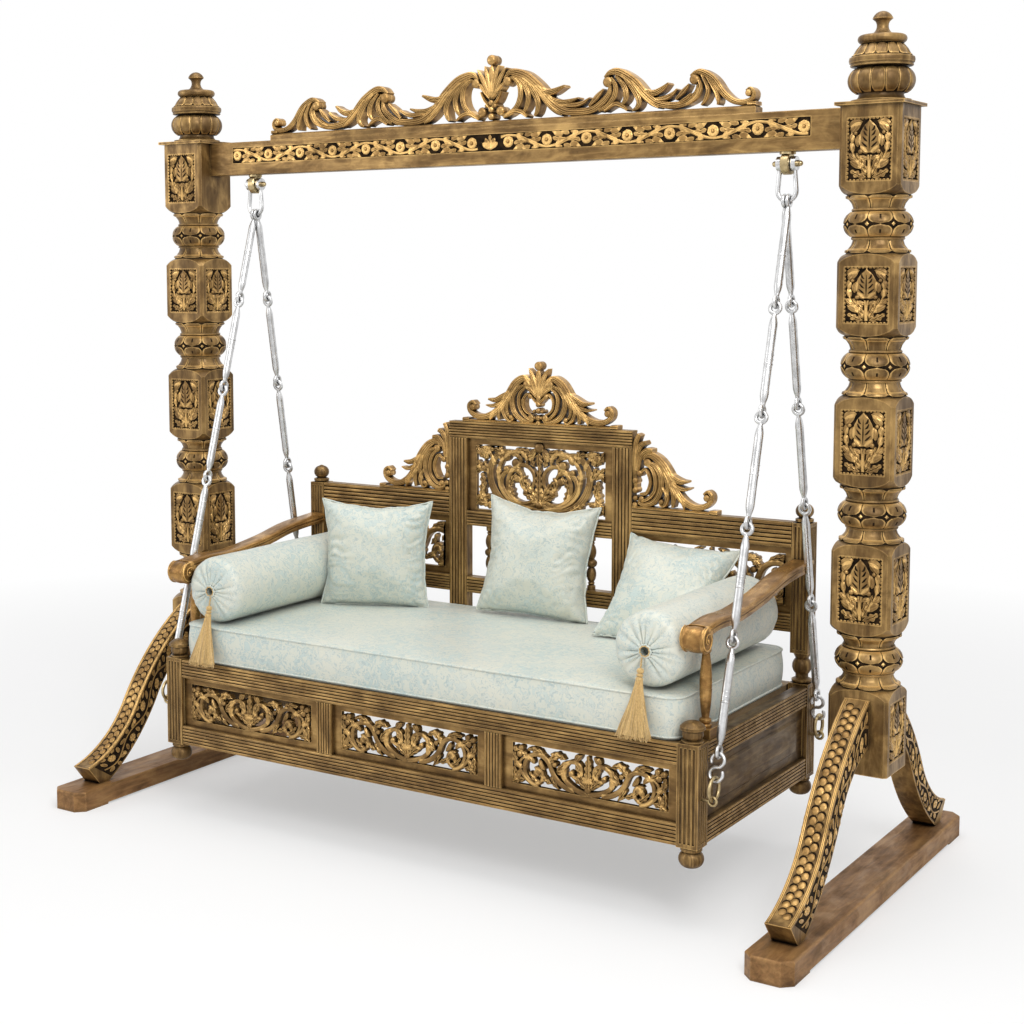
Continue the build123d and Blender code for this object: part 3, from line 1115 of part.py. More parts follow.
def tassel():
    """Drawstring, bead, tied head and a skirt that spreads sideways, hanging from the origin."""
    skirt = TASSEL_SKIRT_R
    head = turned([
        (0.36 * skirt, -62), (0.36 * skirt, -54), (0.5 * skirt, -50), (0.36 * skirt, -46),
        (0.56 * skirt, -36, 0.15 * skirt, -26), (0.1 * skirt, -25), (0.1 * skirt, -2), (0.1 * skirt, 0),
    ]) + Sphere(0.1 * skirt)
    top_z = -56.0
    threads = loft([
        Pos(0, 0, top_z) * Ellipse(0.55 * skirt, 0.42 * skirt),
        Pos(0, 0, -TASSEL_L) * Ellipse(TASSEL_SPREAD / 2, 0.9 * skirt),
    ], ruled=True)
    return head + threads


TASSEL_Y = BOLSTER_Y0 - SOFT_GAP - 0.1 * TASSEL_SKIRT_R
hung = Rot(-TASSEL_LEAN, 0, 0) * tassel()
save("tassel_left", Pos(-TASSEL_X, TASSEL_Y, TASSEL_Z) * hung)
save("tassel_right", Pos(TASSEL_X, TASSEL_Y, TASSEL_Z) * hung)

# ------------------------------------------------------------------ places of the joints
print("nodes", len(nodes), "swing pin z", PIN_Z, "tassel", TASSEL_X, TASSEL_Y, TASSEL_Z)
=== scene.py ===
"""Looks of the carved jhoola swing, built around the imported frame.

Frame: X runs along the beam, -Y is the front of the seat, +Z is up. Sizes in this file are
millimetres, and Shells.make turns them into metres.
"""

import bmesh
import bpy
import json
import math
import random
import numpy as np
from mathutils import Matrix, Vector, noise


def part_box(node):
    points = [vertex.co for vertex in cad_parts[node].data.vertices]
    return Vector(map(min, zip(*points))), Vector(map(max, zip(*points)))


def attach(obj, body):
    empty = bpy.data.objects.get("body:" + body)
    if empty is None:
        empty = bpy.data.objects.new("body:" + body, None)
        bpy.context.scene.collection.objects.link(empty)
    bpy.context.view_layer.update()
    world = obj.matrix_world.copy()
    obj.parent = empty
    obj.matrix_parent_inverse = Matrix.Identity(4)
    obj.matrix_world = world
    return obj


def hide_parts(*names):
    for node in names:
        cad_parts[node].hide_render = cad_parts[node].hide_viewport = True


MM = 0.001
SIDES = (-1, 1)

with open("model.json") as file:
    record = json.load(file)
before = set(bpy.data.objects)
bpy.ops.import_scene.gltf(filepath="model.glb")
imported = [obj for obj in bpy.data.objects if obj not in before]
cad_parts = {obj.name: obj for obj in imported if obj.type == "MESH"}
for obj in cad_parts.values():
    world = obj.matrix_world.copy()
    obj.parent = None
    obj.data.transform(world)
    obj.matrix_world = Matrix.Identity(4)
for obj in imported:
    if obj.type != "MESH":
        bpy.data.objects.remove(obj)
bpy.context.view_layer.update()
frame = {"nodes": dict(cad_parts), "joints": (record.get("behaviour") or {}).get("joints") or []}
joints = {joint["name"]: joint for joint in frame["joints"]}


def node_box(node):
    """Lowest and highest corner of a CAD node in millimetres."""
    low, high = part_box(node)
    return low / MM, high / MM


# ------------------------------------------------------------------ sizes, mm
POST_X = 1076.0
BLOCK = 150.0
POST_BOTTOM = 333.0
BLOCK_HEIGHTS = [209.0, 223.0, 217.0, 196.0, 209.0]
NECK_HEIGHTS = [133.0, 138.0, 145.0, 140.0]
SHOULDER_R = 74.0
NECK_R = 56.0
BULB_R = 79.0
PANEL_DEPTH = 5.0
PANEL_SIDE = 21.0
PANEL_END = 31.0
BRACE_W = 62.0
BRACE_REACH = 556.0
BRACE_TIP_H = 53.0
BRACE_TOP = 187.0
FOOT_H = 57.0
VINE_HALF = 912.0
VINE_H = 46.0
VINE_DEPTH = 3.0
BACK_FRONT = 240.0
BOARD = 12.0
MATTRESS_TOP = node_box("mattress")[1].z
BEAM_LOW, BEAM_HIGH = (corner.z for corner in node_box("cross_beam"))
STRIP_TOP = node_box("beam_crest_strip")[1].z
CAP_TOP = node_box("post_cap_plates")[1].z


# ------------------------------------------------------------------ shells
def linked(name, data):
    """New object of a mesh, a lamp or a camera, put in the scene."""
    obj = bpy.data.objects.new(name, data)
    bpy.context.scene.collection.objects.link(obj)
    return obj


class Shells:
    """Collects closed shells, in millimetres, and makes one object of them."""

    def __init__(self):
        self.verts = []
        self.faces = []
        self.count = 0

    def add(self, verts, faces, place=None):
        """Add a shell whose points are an array, moved by a matrix."""
        verts = np.asarray(verts, float).reshape(-1, 3)
        flip = False
        if place is not None:
            turn = np.array(place)
            verts = verts @ turn[:3, :3].T + turn[:3, 3]
            flip = np.linalg.det(turn[:3, :3]) < 0
        self.verts.append(verts)
        for face in faces:
            face = [i + self.count for i in face]
            self.faces.append(face[::-1] if flip else face)
        self.count += len(verts)

    def make(self, name, material, body, smooth=60.0):
        """The object, riding on a body."""
        mesh = bpy.data.meshes.new(name)
        mesh.from_pydata((np.concatenate(self.verts) * MM).tolist(), [], self.faces)
        mesh.validate()
        obj = linked(name, mesh)
        mesh.materials.append(material)
        if smooth:
            mesh.shade_smooth()
            mesh.set_sharp_from_angle(angle=math.radians(smooth))
        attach(obj, body)
        return obj


def grid_faces(rows, cols, around=False):
    """Quads of a grid of points, rows by cols; around joins the last column to the first."""
    faces = []
    for i in range(rows - 1):
        for j in range(cols if around else cols - 1):
            a = i * cols + j
            b = i * cols + (j + 1) % cols
            faces.append((a, b, b + cols, a + cols))
    return faces


def roll_faces(rows, cols):
    """Faces of a closed roll: rings joined in turn, with a flat face at each end."""
    last = (rows - 1) * cols
    ends = [tuple(range(cols))[::-1], tuple(last + j for j in range(cols))]
    return grid_faces(rows, cols, around=True) + ends


def unit(ways):
    """Rows made one long."""
    return ways / np.linalg.norm(ways, axis=1)[:, None]


def to_right(ways):
    """Normals to the right of flat unit directions."""
    return np.stack([ways[:, 1], -ways[:, 0]], axis=1)


def distances(line):
    """Distance along a line at each of its points."""
    return np.concatenate([[0.0], np.cumsum(np.linalg.norm(np.diff(line, axis=0), axis=1))])


def plate(top, bottom):
    """Closed shell between two grids of the same rows and columns, the top one facing up."""
    rows, cols = top.shape[:2]
    size = rows * cols
    verts = np.concatenate([top.reshape(-1, 3), bottom.reshape(-1, 3)])
    faces = grid_faces(rows, cols)
    faces += [(a + size, d + size, c + size, b + size) for a, b, c, d in faces]
    rim = [i * cols for i in range(rows)]
    rim += [(rows - 1) * cols + j for j in range(1, cols)]
    rim += [i * cols + cols - 1 for i in range(rows - 2, -1, -1)]
    rim += list(range(cols - 2, 0, -1))
    for a, b in zip(rim, rim[1:] + rim[:1]):
        faces.append((a, a + size, b + size, b))
    return verts, faces


def lathe(outline, segments=48, wobble=None):
    """Closed turned shell about Z from (r, z) points; wobble(angle, index) adds to a radius."""
    rows = []
    for k, (r, z) in enumerate(outline):
        ring = []
        for j in range(segments):
            a = 2 * math.pi * j / segments
            rr = r + (wobble(a, k) if wobble and r > 0 else 0.0)
            ring.append((rr * math.cos(a), rr * math.sin(a), z))
        rows.append(ring)
    return np.array(rows, float), roll_faces(len(rows), segments)


def tube(path, radius, sides=8, closed=False):
    """Round tube along a list of points; radius is one value or one for each point."""
    points = np.asarray(path, float)
    count = len(points)
    radii = np.broadcast_to(np.asarray(radius, float), (count,))
    ahead = np.roll(points, -1, axis=0) - np.roll(points, 1, axis=0)
    if not closed:
        ahead[0] = points[1] - points[0]
        ahead[-1] = points[-1] - points[-2]
    ahead = unit(ahead)
    normal = np.cross(ahead[0], (0.0, 0.0, 1.0))
    if np.linalg.norm(normal) < 1e-3:
        normal = np.array((1.0, 0.0, 0.0))
    verts = []
    for k in range(count):
        normal = normal - ahead[k] * np.dot(normal, ahead[k])
        normal /= np.linalg.norm(normal)
        other = np.cross(ahead[k], normal)
        for j in range(sides):
            a = 2 * math.pi * j / sides
            verts.append(points[k] + radii[k] * (math.cos(a) * normal + math.sin(a) * other))
    if not closed:
        return np.array(verts), roll_faces(count, sides)
    last = (count - 1) * sides
    faces = grid_faces(count, sides, around=True)
    faces += [(last + j, last + (j + 1) % sides, (j + 1) % sides, j) for j in range(sides)]
    return np.array(verts), faces


def ball(radius, centre):
    """Round ball."""
    heights = [-math.pi / 2 + math.pi * k / 9 for k in range(1, 9)]
    verts, faces = lathe([(radius * math.cos(a), radius * math.sin(a)) for a in heights], 16)
    return verts.reshape(-1, 3) + np.array(centre, float), faces


def facing(origin, right, up):
    """Place for a flat drawing: x to the right, y up, z out of the face."""
    right = Vector(right)
    up = Vector(up)
    out = right.cross(up)
    place = Matrix((right, up, out)).transposed().to_4x4()
    place.translation = Vector(origin)
    return place


# ------------------------------------------------------------------ carved relief
def walk(x, y, heading, radius, turn):
    """Point and heading at the end of an arc; a positive turn goes left."""
    side = math.copysign(1.0, turn)
    start = math.radians(heading)
    end = start + math.radians(turn)
    cx = x - side * radius * math.sin(start)
    cy = y + side * radius * math.cos(start)
    return cx + side * radius * math.sin(end), cy - side * radius * math.cos(end), heading + turn


def stem_line(x, y, heading, arcs, step=6.0):
    """Points and headings along a stem made of arcs."""
    line = [(x, y, heading)]
    for radius, turn in arcs:
        length = radius * abs(math.radians(turn))
        pieces = max(2, math.ceil(length / step), math.ceil(abs(turn) / 14))
        for k in range(1, pieces + 1):
            line.append(walk(x, y, heading, radius, turn * k / pieces))
        x, y, heading = line[-1]
    return line


def spline(points, pieces=7):
    """Points of a smooth line through a few rows of values, by Catmull-Rom."""
    rows = np.asarray(points, float)
    rows = np.vstack([2 * rows[0] - rows[1], rows, 2 * rows[-1] - rows[-2]])
    line = []
    for k in range(len(rows) - 3):
        p0, p1, p2, p3 = rows[k:k + 4]
        for t in np.linspace(0, 1, pieces, endpoint=k == len(rows) - 4):
            line.append(0.5 * (2 * p1 + (p2 - p0) * t + (2 * p0 - 5 * p1 + 4 * p2 - p3) * t ** 2
                               + (3 * p1 - p0 - 3 * p2 + p3) * t ** 3))
    return np.array(line)


def crown(across, flutes, cut):
    """Height of a carved strand from -1 to 1 across: round, with grooves along it."""
    dome = np.sqrt(np.clip(1 - 0.92 * across ** 2, 0, 1))
    return dome * (1 - cut * (0.5 + 0.5 * np.cos(math.pi * flutes * across)))


LOBE = 17.0                # spacing of the lobes along a large leaf
STRAND_CUT = 0.42          # depth of a curved strand's grooves, as a share of its height
WIDE_STRAND = 7.5          # half-width from which a curved strand has four grooves


class Relief:
    """Carved leaves, stems and bosses standing on a flat ground, or on both faces of a board."""

    def __init__(self, base, rise, back=None, keep=None, back_share=1.0, lobed=True):
        self.base = base      # height of the ground on which the carving stands
        self.rise = rise      # how far it stands out
        self.back = back      # height of the back face where the carving shows on both sides
        self.keep = keep      # (x0, x1, y0, y1) beyond which nothing reaches
        self.back_share = back_share
        self.lobed = lobed    # whether large leaves have lobes along their edges
        self.parts = []

    def strand(self, centre, normal, half, height, cols=7, flutes=2.0, cut=0.22, ripple=None):
        """One strand from its centre points, and one or each of the normals, half-widths and heights."""
        normal = np.broadcast_to(normal, centre.shape)
        half = np.broadcast_to(half, len(centre))
        height = np.broadcast_to(height, len(centre))
        across = np.linspace(-1, 1, cols)
        flat = centre[:, None, :] + normal[:, None, :] * (half[:, None] * across)[:, :, None]
        if self.keep:
            flat[..., 0] = np.clip(flat[..., 0], self.keep[0], self.keep[1])
            flat[..., 1] = np.clip(flat[..., 1], self.keep[2], self.keep[3])
        shape = 0.35 + 0.65 * crown(across, flutes, cut)
        if ripple is not None:
            shape = shape * ripple(across)
        top = self.base + height[:, None] * shape
        front = np.concatenate([flat, top[:, :, None]], axis=2)
        low = np.full_like(top, self.base - 1.0)
        if self.back is not None:
            low = self.back - self.back_share * (top - self.base)
        behind = np.concatenate([flat, low[:, :, None]], axis=2)
        self.parts.append(plate(front[:, ::-1], behind[:, ::-1]))

    def leaf(self, x, y, angle, length, width, bend, lift=1.0, flutes=3.0, cut=0.3):
        """Pointed leaf with a vein."""
        tip_way = math.radians(angle + bend / 2)
        mid_way = math.radians(angle + bend / 4)
        start = np.array((x, y))
        tip = start + length * np.array((math.cos(tip_way), math.sin(tip_way)))
        mid = start + length / 2 * np.array((math.cos(mid_way), math.sin(mid_way)))
        pull = 2 * mid - (start + tip) / 2
        lobes = round(length / LOBE) if self.lobed and length > 2.2 * LOBE else 0
        t = np.linspace(0.0, 1.0, 9 + 6 * lobes)
        s = t[:, None]
        centre = (1 - s) ** 2 * start + 2 * s * (1 - s) * pull + s ** 2 * tip
        normal = to_right(unit(2 * (1 - s) * (pull - start) + 2 * s * (tip - pull)))
        half = width / 2 * (4 * t * (1 - t)) ** 0.6 + 0.3
        height = self.rise * lift * (0.45 + 0.55 * np.sin(math.pi * np.clip(t, 0.0, 1.0)) ** 0.6)
        if not lobes:
            self.strand(centre, normal, half, height, 7 if self.lobed else 11, flutes, cut)
            return
        half = half * (0.86 + 0.2 * np.cos(2 * math.pi * (lobes * t - 0.8)))

        def ripple(across):
            cuts = 0.5 + 0.5 * np.cos(2 * math.pi * (lobes * s - 0.8 * np.abs(across)))
            notches = 1 - 0.42 * (1 - cuts ** 0.6) * np.minimum(1, 2.5 * np.abs(across))
            vein = 1 - 0.45 * np.exp(-(across / 0.13) ** 2)
            return notches * vein

        self.strand(centre, normal, half, height, 9, 1.0, 0.0, ripple)

    def stem(self, x, y, heading, arcs, w0, w1, lift=0.9):
        """Tapering curved stem."""
        line = stem_line(x, y, heading, arcs)
        ways = np.radians([p[2] for p in line])
        centre = np.array([p[:2] for p in line])
        normal = np.stack([np.sin(ways), -np.cos(ways)], axis=1)
        run = distances(centre)
        share = run / run[-1]
        half = (w0 + (w1 - w0) * share) / 2
        height = np.full(len(line), self.rise * lift)
        height[[0, -1]] *= 0.6
        self.strand(centre, normal, half, height, 7, 2.0, 0.24)

    def curve(self, points, lift=1.0):
        """Grooved strand through (x, y, width) points, thinner where it is narrow."""
        line = spline(points)
        centre = line[:, :2]
        normal = to_right(unit(np.gradient(centre, axis=0)))
        half = np.maximum(line[:, 2], 2.0) / 2
        height = self.rise * lift * (0.55 + 0.45 * np.clip(half / half.max(), 0, 1))
        cols, flutes = (13, 4.0) if half.max() > WIDE_STRAND else (9, 2.0)
        self.strand(centre, normal, half, height, cols, flutes, STRAND_CUT)

    def disc(self, x, y, radius, lift=1.15):
        """Round boss."""
        outline = []
        for k in range(6):
            a = math.pi / 2 * k / 5.6
            outline.append((radius * math.cos(a), self.rise * lift * (0.3 + 0.7 * math.sin(a))))
        verts, faces = lathe([(radius, -1.0)] + outline, 20)
        verts = verts.reshape(-1, 3) + np.array((x, y, self.base))
        if self.back is not None:
            middle = (self.base + self.back) / 2
            verts[:20, 2] = middle
            low = verts.copy()
            low[20:, 2] = self.back - self.back_share * (low[20:, 2] - self.base)
            self.parts.append((low, [face[::-1] for face in faces]))
        self.parts.append((verts, faces))

    def flower(self, x, y, radius, petals, lift):
        """Open flower: petals round a raised middle."""
        for k in range(petals):
            angle = 90 + 360 * k / petals
            px = x + 0.16 * radius * math.cos(math.radians(angle))
            py = y + 0.16 * radius * math.sin(math.radians(angle))
            self.leaf(px, py, angle, 0.86 * radius, 0.92 * radius, 0, lift, 1.0, 0.5)
        self.disc(x, y, 0.27 * radius, 1.35 * lift)

    def draw(self, entries, scale=1.0, mirrored=True):
        """Carve a pattern: its right half, and its mirror image."""
        for side in (1, -1) if mirrored else (1,):
            for order, (kind, x, y, *rest) in enumerate(entries):
                lift = 0.92 + 0.16 * ((order * 7) % 5) / 4
                if kind == "curve":
                    points = np.array([(x, y, rest[0]), *rest[1]], float)
                    self.curve(points * (side * scale, scale, scale), lift)
                    continue
                x = side * x * scale
                y = y * scale
                if kind == "disc":
                    if side == 1 or x:
                        self.disc(x, y, rest[0] * scale)
                    continue
                angle = rest[0] if side == 1 else 180 - rest[0]
                if kind == "leaf":
                    _, length, width, bend = rest
                    if side == 1 or x or abs(angle - 90) % 180:
                        self.leaf(x, y, angle, length * scale, width * scale, side * bend, lift)
                else:
                    _, arcs, w0, w1 = rest
                    bends = [(radius * scale, side * turn) for radius, turn in arcs]
                    self.stem(x, y, angle, bends, w0 * scale, w1 * scale)

    def into(self, shells, place):
        """Put the carving on its place."""
        for verts, faces in self.parts:
            shells.add(verts, faces, place)


# The right half of each pattern, in the entries that Relief.draw takes:
# ("stem", x, y, heading, arcs, first width, last width), ("leaf", x, y, angle, length, width, bend),
# ("disc", x, y, radius) and ("curve", x, y, width, further points and widths).
PANEL_PATTERN = [
    ("stem", 0, -70, 90, [(400, 8)], 8, 6), ("leaf", 3, -64, 74, 56, 13, -16),
    ("leaf", 5, -66, 54, 64, 13, 24), ("leaf", 6, -70, 14, 44, 18, 24), ("leaf", 16, -46, 40, 36, 18, -20),
    ("leaf", 2, -8, 18, 26, 12, 40), ("leaf", 4, -26, 30, 24, 12, -30),
    ("stem", 30, -26, 52, [(60, 60)], 6, 4), ("leaf", 34, -24, 30, 22, 13, 30),
    ("leaf", 39, -6, 70, 26, 13, 20), ("leaf", 29, 6, 84, 32, 13, 30), ("leaf", 43, 16, 84, 26, 13, 16),
    ("leaf", 44, 40, 112, 34, 17, 40), ("leaf", 18, 68, 0, 34, 18, -44), ("disc", 22, -6, 6),
    ("disc", 34, 40, 5),
]
FRONT_PATTERN = [
    ("stem", 0, -46, 0, [(92, 38), (31, 150), (19, 170), (10, 120)], 14, 8),
    ("stem", 38, -43, 0, [(70, 72), (38, -225), (22, -160), (12, -90)], 15, 8),
    ("stem", 140, -50, 10, [(70, 52), (24, 120)], 12, 7), ("disc", 45, -2, 8), ("disc", 139, -11, 9),
    ("disc", 0, -36, 9), ("leaf", 196, -12, 60, 44, 16, 30), ("leaf", 166, 18, 40, 50, 16, -30),
    ("leaf", 108, 12, 115, 44, 17, 30), ("leaf", 88, -8, 120, 58, 15, 40),
    ("leaf", 62, 30, 30, 44, 14, -40), ("leaf", 98, -36, 8, 46, 14, 40),
    ("leaf", 174, -36, -10, 46, 15, -20), ("leaf", 122, 32, 35, 50, 15, -50),
    ("leaf", 206, -4, -80, 44, 15, -20), ("leaf", 0, -42, 90, 94, 20, 0), ("leaf", 2, -38, 68, 80, 16, -10),
    ("leaf", 4, -36, 46, 52, 14, -20),
]
BACK_PATTERN = [
    ("stem", 0, -88, 0, [(150, 30), (62, 120), (40, 150), (22, 150), (13, 100)], 18, 9),
    ("stem", 60, -78, 10, [(95, 75), (70, 95), (28, 110)], 16, 9),
    ("stem", 150, 40, 80, [(60, -30), (30, 100), (14, 120)], 12, 8), ("disc", 72, 2, 12),
    ("disc", 0, -70, 12), ("disc", 0, -98, 14), ("disc", 0, 98, 16), ("leaf", 128, 48, 100, 50, 22, -30),
    ("leaf", 40, 62, 60, 40, 18, -40), ("leaf", 30, 66, 110, 36, 18, 30),
    ("leaf", 158, -52, -22, 64, 20, 30), ("leaf", 150, -76, -10, 70, 18, 20),
    ("leaf", 186, -30, -70, 66, 18, 20), ("leaf", 188, 56, 52, 60, 22, 0),
    ("leaf", 186, 52, 120, 46, 20, -20), ("leaf", 196, 40, -50, 40, 18, 0),
    ("leaf", 0, -74, 90, 120, 24, 0), ("leaf", 4, -70, 66, 86, 20, -14), ("leaf", 6, -68, 42, 58, 18, -20),
    ("leaf", 0, 84, -90, 44, 26, 0), ("leaf", 10, 84, -45, 46, 18, 30), ("leaf", 100, 84, -70, 34, 18, 0),
]
CREST_PATTERN = [
    ("disc", 0, 163, 14), ("disc", 0, 48, 9), ("disc", 0, 30, 9), ("disc", 0, 11, 10), ("disc", 14, 40, 6),
    ("leaf", 0, 58, 90, 94, 20, 0), ("leaf", 3, 58, 86, 92, 15, -16), ("leaf", 5, 56, 76, 94, 15, -24),
    ("leaf", 6, 56, 66, 62, 13, -30), ("disc", 50, 103, 13), ("disc", 29, 25, 13),
    ("curve", 4, 62, 8, [(18, 76, 10), (34, 92, 8)]),
    ("curve", 0, 28, 8, [(12, 46, 9), (22, 58, 9), (32, 78, 8)]),
    ("curve", 66, 116, 8, [(94, 100, 14), (116, 66, 17), (112, 36, 14), (102, 18, 7)]),
    ("curve", 100, 108, 8, [(126, 80, 16), (146, 46, 18), (144, 20, 14), (136, 6, 8)]),
    ("curve", 128, 94, 8, [(152, 66, 14), (180, 34, 16), (202, 14, 12), (220, 4, 6)]),
    ("curve", 58, 112, 8, [(74, 108, 13), (89, 90, 16), (92, 62, 17), (80, 34, 15), (56, 16, 13),
        (38, 14, 10), (27, 22, 8)]), ("curve", 140, 86, 10, [(168, 68, 16), (194, 68, 16), (226, 80, 7)]),
    ("curve", 178, 52, 10, [(212, 38, 15), (240, 38, 14), (268, 46, 5)]),
    ("curve", 214, 30, 8, [(256, 28, 14), (280, 32, 11), (302, 44, 5)]),
    ("curve", 300, 22, 8, [(322, 44, 15), (342, 64, 6)]),
    ("curve", 42, 112, 8, [(58, 126, 16), (80, 124, 22), (111, 111, 26), (149, 80, 26), (182, 44, 24),
        (222, 17, 22), (262, 10, 20), (308, 13, 19), (338, 30, 18), (358, 50, 16), (362, 72, 9)]),
    ("curve", 40, 6, 8, [(66, 22, 13), (92, 20, 12), (112, 6, 8)]), ("disc", 355, 82, 14),
    ("curve", 364, 92, 8, [(378, 70, 14), (374, 44, 16), (356, 22, 14), (330, 10, 10)]),
    ("curve", 378, 96, 8, [(404, 66, 16), (408, 40, 16), (398, 22, 8)]),
    ("curve", 396, 98, 8, [(430, 60, 18), (446, 30, 17), (440, 12, 12), (428, 5, 7)]),
    ("curve", 426, 80, 8, [(452, 48, 14), (480, 22, 13), (502, 8, 6)]),
    ("curve", 346, 8, 8, [(376, 24, 13), (400, 16, 11), (412, 6, 6)]),
    ("curve", 462, 52, 10, [(488, 46, 16), (510, 54, 14), (528, 68, 6)]),
    ("curve", 492, 30, 9, [(520, 31, 14), (540, 40, 11), (552, 52, 5)]),
    ("curve", 550, 26, 8, [(570, 44, 14), (586, 62, 6)]),
    ("curve", 556, 16, 7, [(578, 26, 11), (592, 38, 6)]),
    ("curve", 346, 94, 8, [(362, 106, 14), (388, 105, 20), (429, 80, 22), (464, 44, 21), (497, 20, 19),
        (545, 11, 18), (583, 19, 17), (606, 40, 14), (610, 60, 8)]), ("disc", 600, 73, 13),
    ("curve", 608, 80, 7, [(618, 54, 13), (606, 28, 13), (580, 12, 8)]),
    ("curve", 620, 84, 7, [(638, 48, 14), (632, 22, 12), (620, 8, 6)]),
    ("curve", 634, 78, 7, [(658, 42, 14), (666, 18, 11), (664, 6, 5)]),
    ("curve", 590, 82, 8, [(604, 90, 12), (622, 89, 17), (652, 70, 18), (680, 34, 17), (708, 13, 15),
        (736, 9, 14), (756, 17, 12), (760, 32, 10), (750, 42, 8), (740, 37, 6)]), ("disc", 747, 31, 9),
    ("curve", 744, 5, 9, [(756, 5, 10), (767, 5, 10)]),
]
BACK_CREST_PATTERN = [
    ("disc", 0, 172, 13), ("leaf", 0, 80, 90, 86, 20, 0), ("leaf", 3, 80, 84, 90, 16, -26),
    ("leaf", 5, 80, 76, 80, 16, -44), ("leaf", 6, 78, 64, 60, 14, -50), ("leaf", 0, 92, -90, 34, 14, 0),
    ("disc", 0, 60, 8), ("disc", 0, 42, 9), ("disc", 0, 22, 9), ("disc", 0, 7, 8), ("disc", 13, 40, 6),
    ("disc", 11, 22, 5), ("disc", 27, 84, 8), ("disc", 24, 22, 10), ("disc", 38, 118, 13),
    ("curve", 2, 62, 8, [(14, 74, 9), (26, 86, 7)]),
    ("curve", 26, 90, 7, [(39, 88, 10), (50, 72, 11), (48, 50, 10), (36, 36, 8), (24, 32, 6)]),
    ("curve", 44, 108, 8, [(60, 92, 12), (65, 72, 13), (59, 44, 12), (42, 24, 11), (26, 16, 8)]),
    ("curve", 50, 114, 10, [(70, 104, 16), (86, 84, 18), (88, 58, 18), (76, 30, 17), (52, 13, 16),
        (28, 10, 13), (17, 20, 10), (24, 30, 7)]),
    ("curve", 92, 92, 10, [(105, 66, 16), (107, 40, 12), (99, 22, 8)]),
    ("curve", 112, 72, 8, [(121, 48, 14), (113, 22, 12), (97, 9, 9), (86, 15, 7), (90, 26, 5)]),
    ("disc", 92, 20, 7), ("curve", 126, 54, 8, [(135, 34, 16), (133, 10, 8)]),
    ("curve", 142, 42, 8, [(156, 26, 13), (164, 8, 6)]),
    ("curve", 96, 96, 8, [(122, 80, 15), (146, 68, 15), (170, 70, 6)]),
    ("curve", 116, 66, 8, [(138, 56, 13), (158, 50, 11), (178, 52, 4)]),
    ("curve", 30, 118, 8, [(36, 132, 14), (54, 135, 20), (78, 118, 25), (100, 86, 25), (122, 56, 23),
        (148, 31, 21), (182, 17, 18), (212, 18, 16), (234, 32, 14), (238, 50, 12), (226, 60, 10),
        (215, 52, 7)]), ("disc", 225, 44, 10),
    ("curve", 2, 4, 8, [(60, 4, 8), (120, 4, 8), (180, 4, 8), (236, 4, 8)]),
    ("curve", 236, 6, 12, [(246, 6, 13), (258, 6, 13)]),
]
WING_PATTERN = [
    ("curve", 10, 50, 10, [(8, 90, 14), (6, 140, 16), (10, 186, 16), (20, 210, 12)]),
    ("curve", 12, 108, 10, [(14, 150, 15), (24, 178, 17), (42, 188, 12)]),
    ("curve", 16, 106, 10, [(24, 144, 15), (42, 164, 17), (62, 166, 12)]), ("disc", 22, 100, 9),
    ("disc", 9, 78, 9), ("disc", 9, 52, 9), ("disc", 10, 30, 8), ("disc", 9, 11, 9),
    ("curve", 24, 102, 8, [(38, 112, 11), (49, 102, 12), (56, 76, 12), (44, 46, 11), (24, 42, 7)]),
    ("curve", 44, 128, 8, [(62, 112, 13), (71, 86, 14), (69, 54, 13), (50, 31, 12), (30, 22, 8)]),
    ("curve", 52, 132, 10, [(72, 122, 16), (87, 96, 18), (87, 60, 18), (70, 26, 17), (42, 13, 15),
        (22, 18, 11), (24, 32, 7)]), ("disc", 29, 29, 9), ("disc", 46, 132, 12),
    ("curve", 96, 108, 10, [(107, 82, 16), (108, 54, 13), (100, 34, 8)]),
    ("curve", 94, 66, 8, [(108, 40, 14), (100, 16, 12), (88, 14, 8), (84, 26, 6)]), ("disc", 90, 24, 8),
    ("curve", 116, 72, 8, [(127, 46, 17), (124, 12, 9)]),
    ("curve", 138, 50, 8, [(154, 30, 14), (160, 8, 6)]),
    ("curve", 104, 110, 8, [(128, 92, 15), (148, 84, 15), (168, 86, 6)]),
    ("curve", 122, 80, 8, [(142, 68, 13), (160, 64, 11), (176, 68, 4)]),
    ("curve", 34, 138, 8, [(42, 150, 14), (60, 152, 20), (86, 134, 25), (111, 100, 25), (130, 62, 23),
        (154, 33, 21), (186, 17, 18), (214, 19, 16), (236, 34, 14), (240, 52, 12), (228, 62, 10),
        (216, 54, 7)]), ("disc", 226, 45, 10),
    ("curve", 2, 4, 8, [(60, 4, 8), (120, 4, 8), (180, 4, 8), (236, 4, 8)]),
    ("curve", 236, 6, 12, [(246, 6, 13), (258, 6, 13)]),
]


# ------------------------------------------------------------------ materials
def add_node(tree, kind, inputs=None, **settings):
    """Node whose inputs are given as values or as sockets to link."""
    made = tree.nodes.new(kind)
    for key, value in settings.items():
        setattr(made, key, value)
    for key, value in (inputs or {}).items():
        if isinstance(value, bpy.types.NodeSocket):
            tree.links.new(value, made.inputs[key])
        else:
            made.inputs[key].default_value = value
    return made


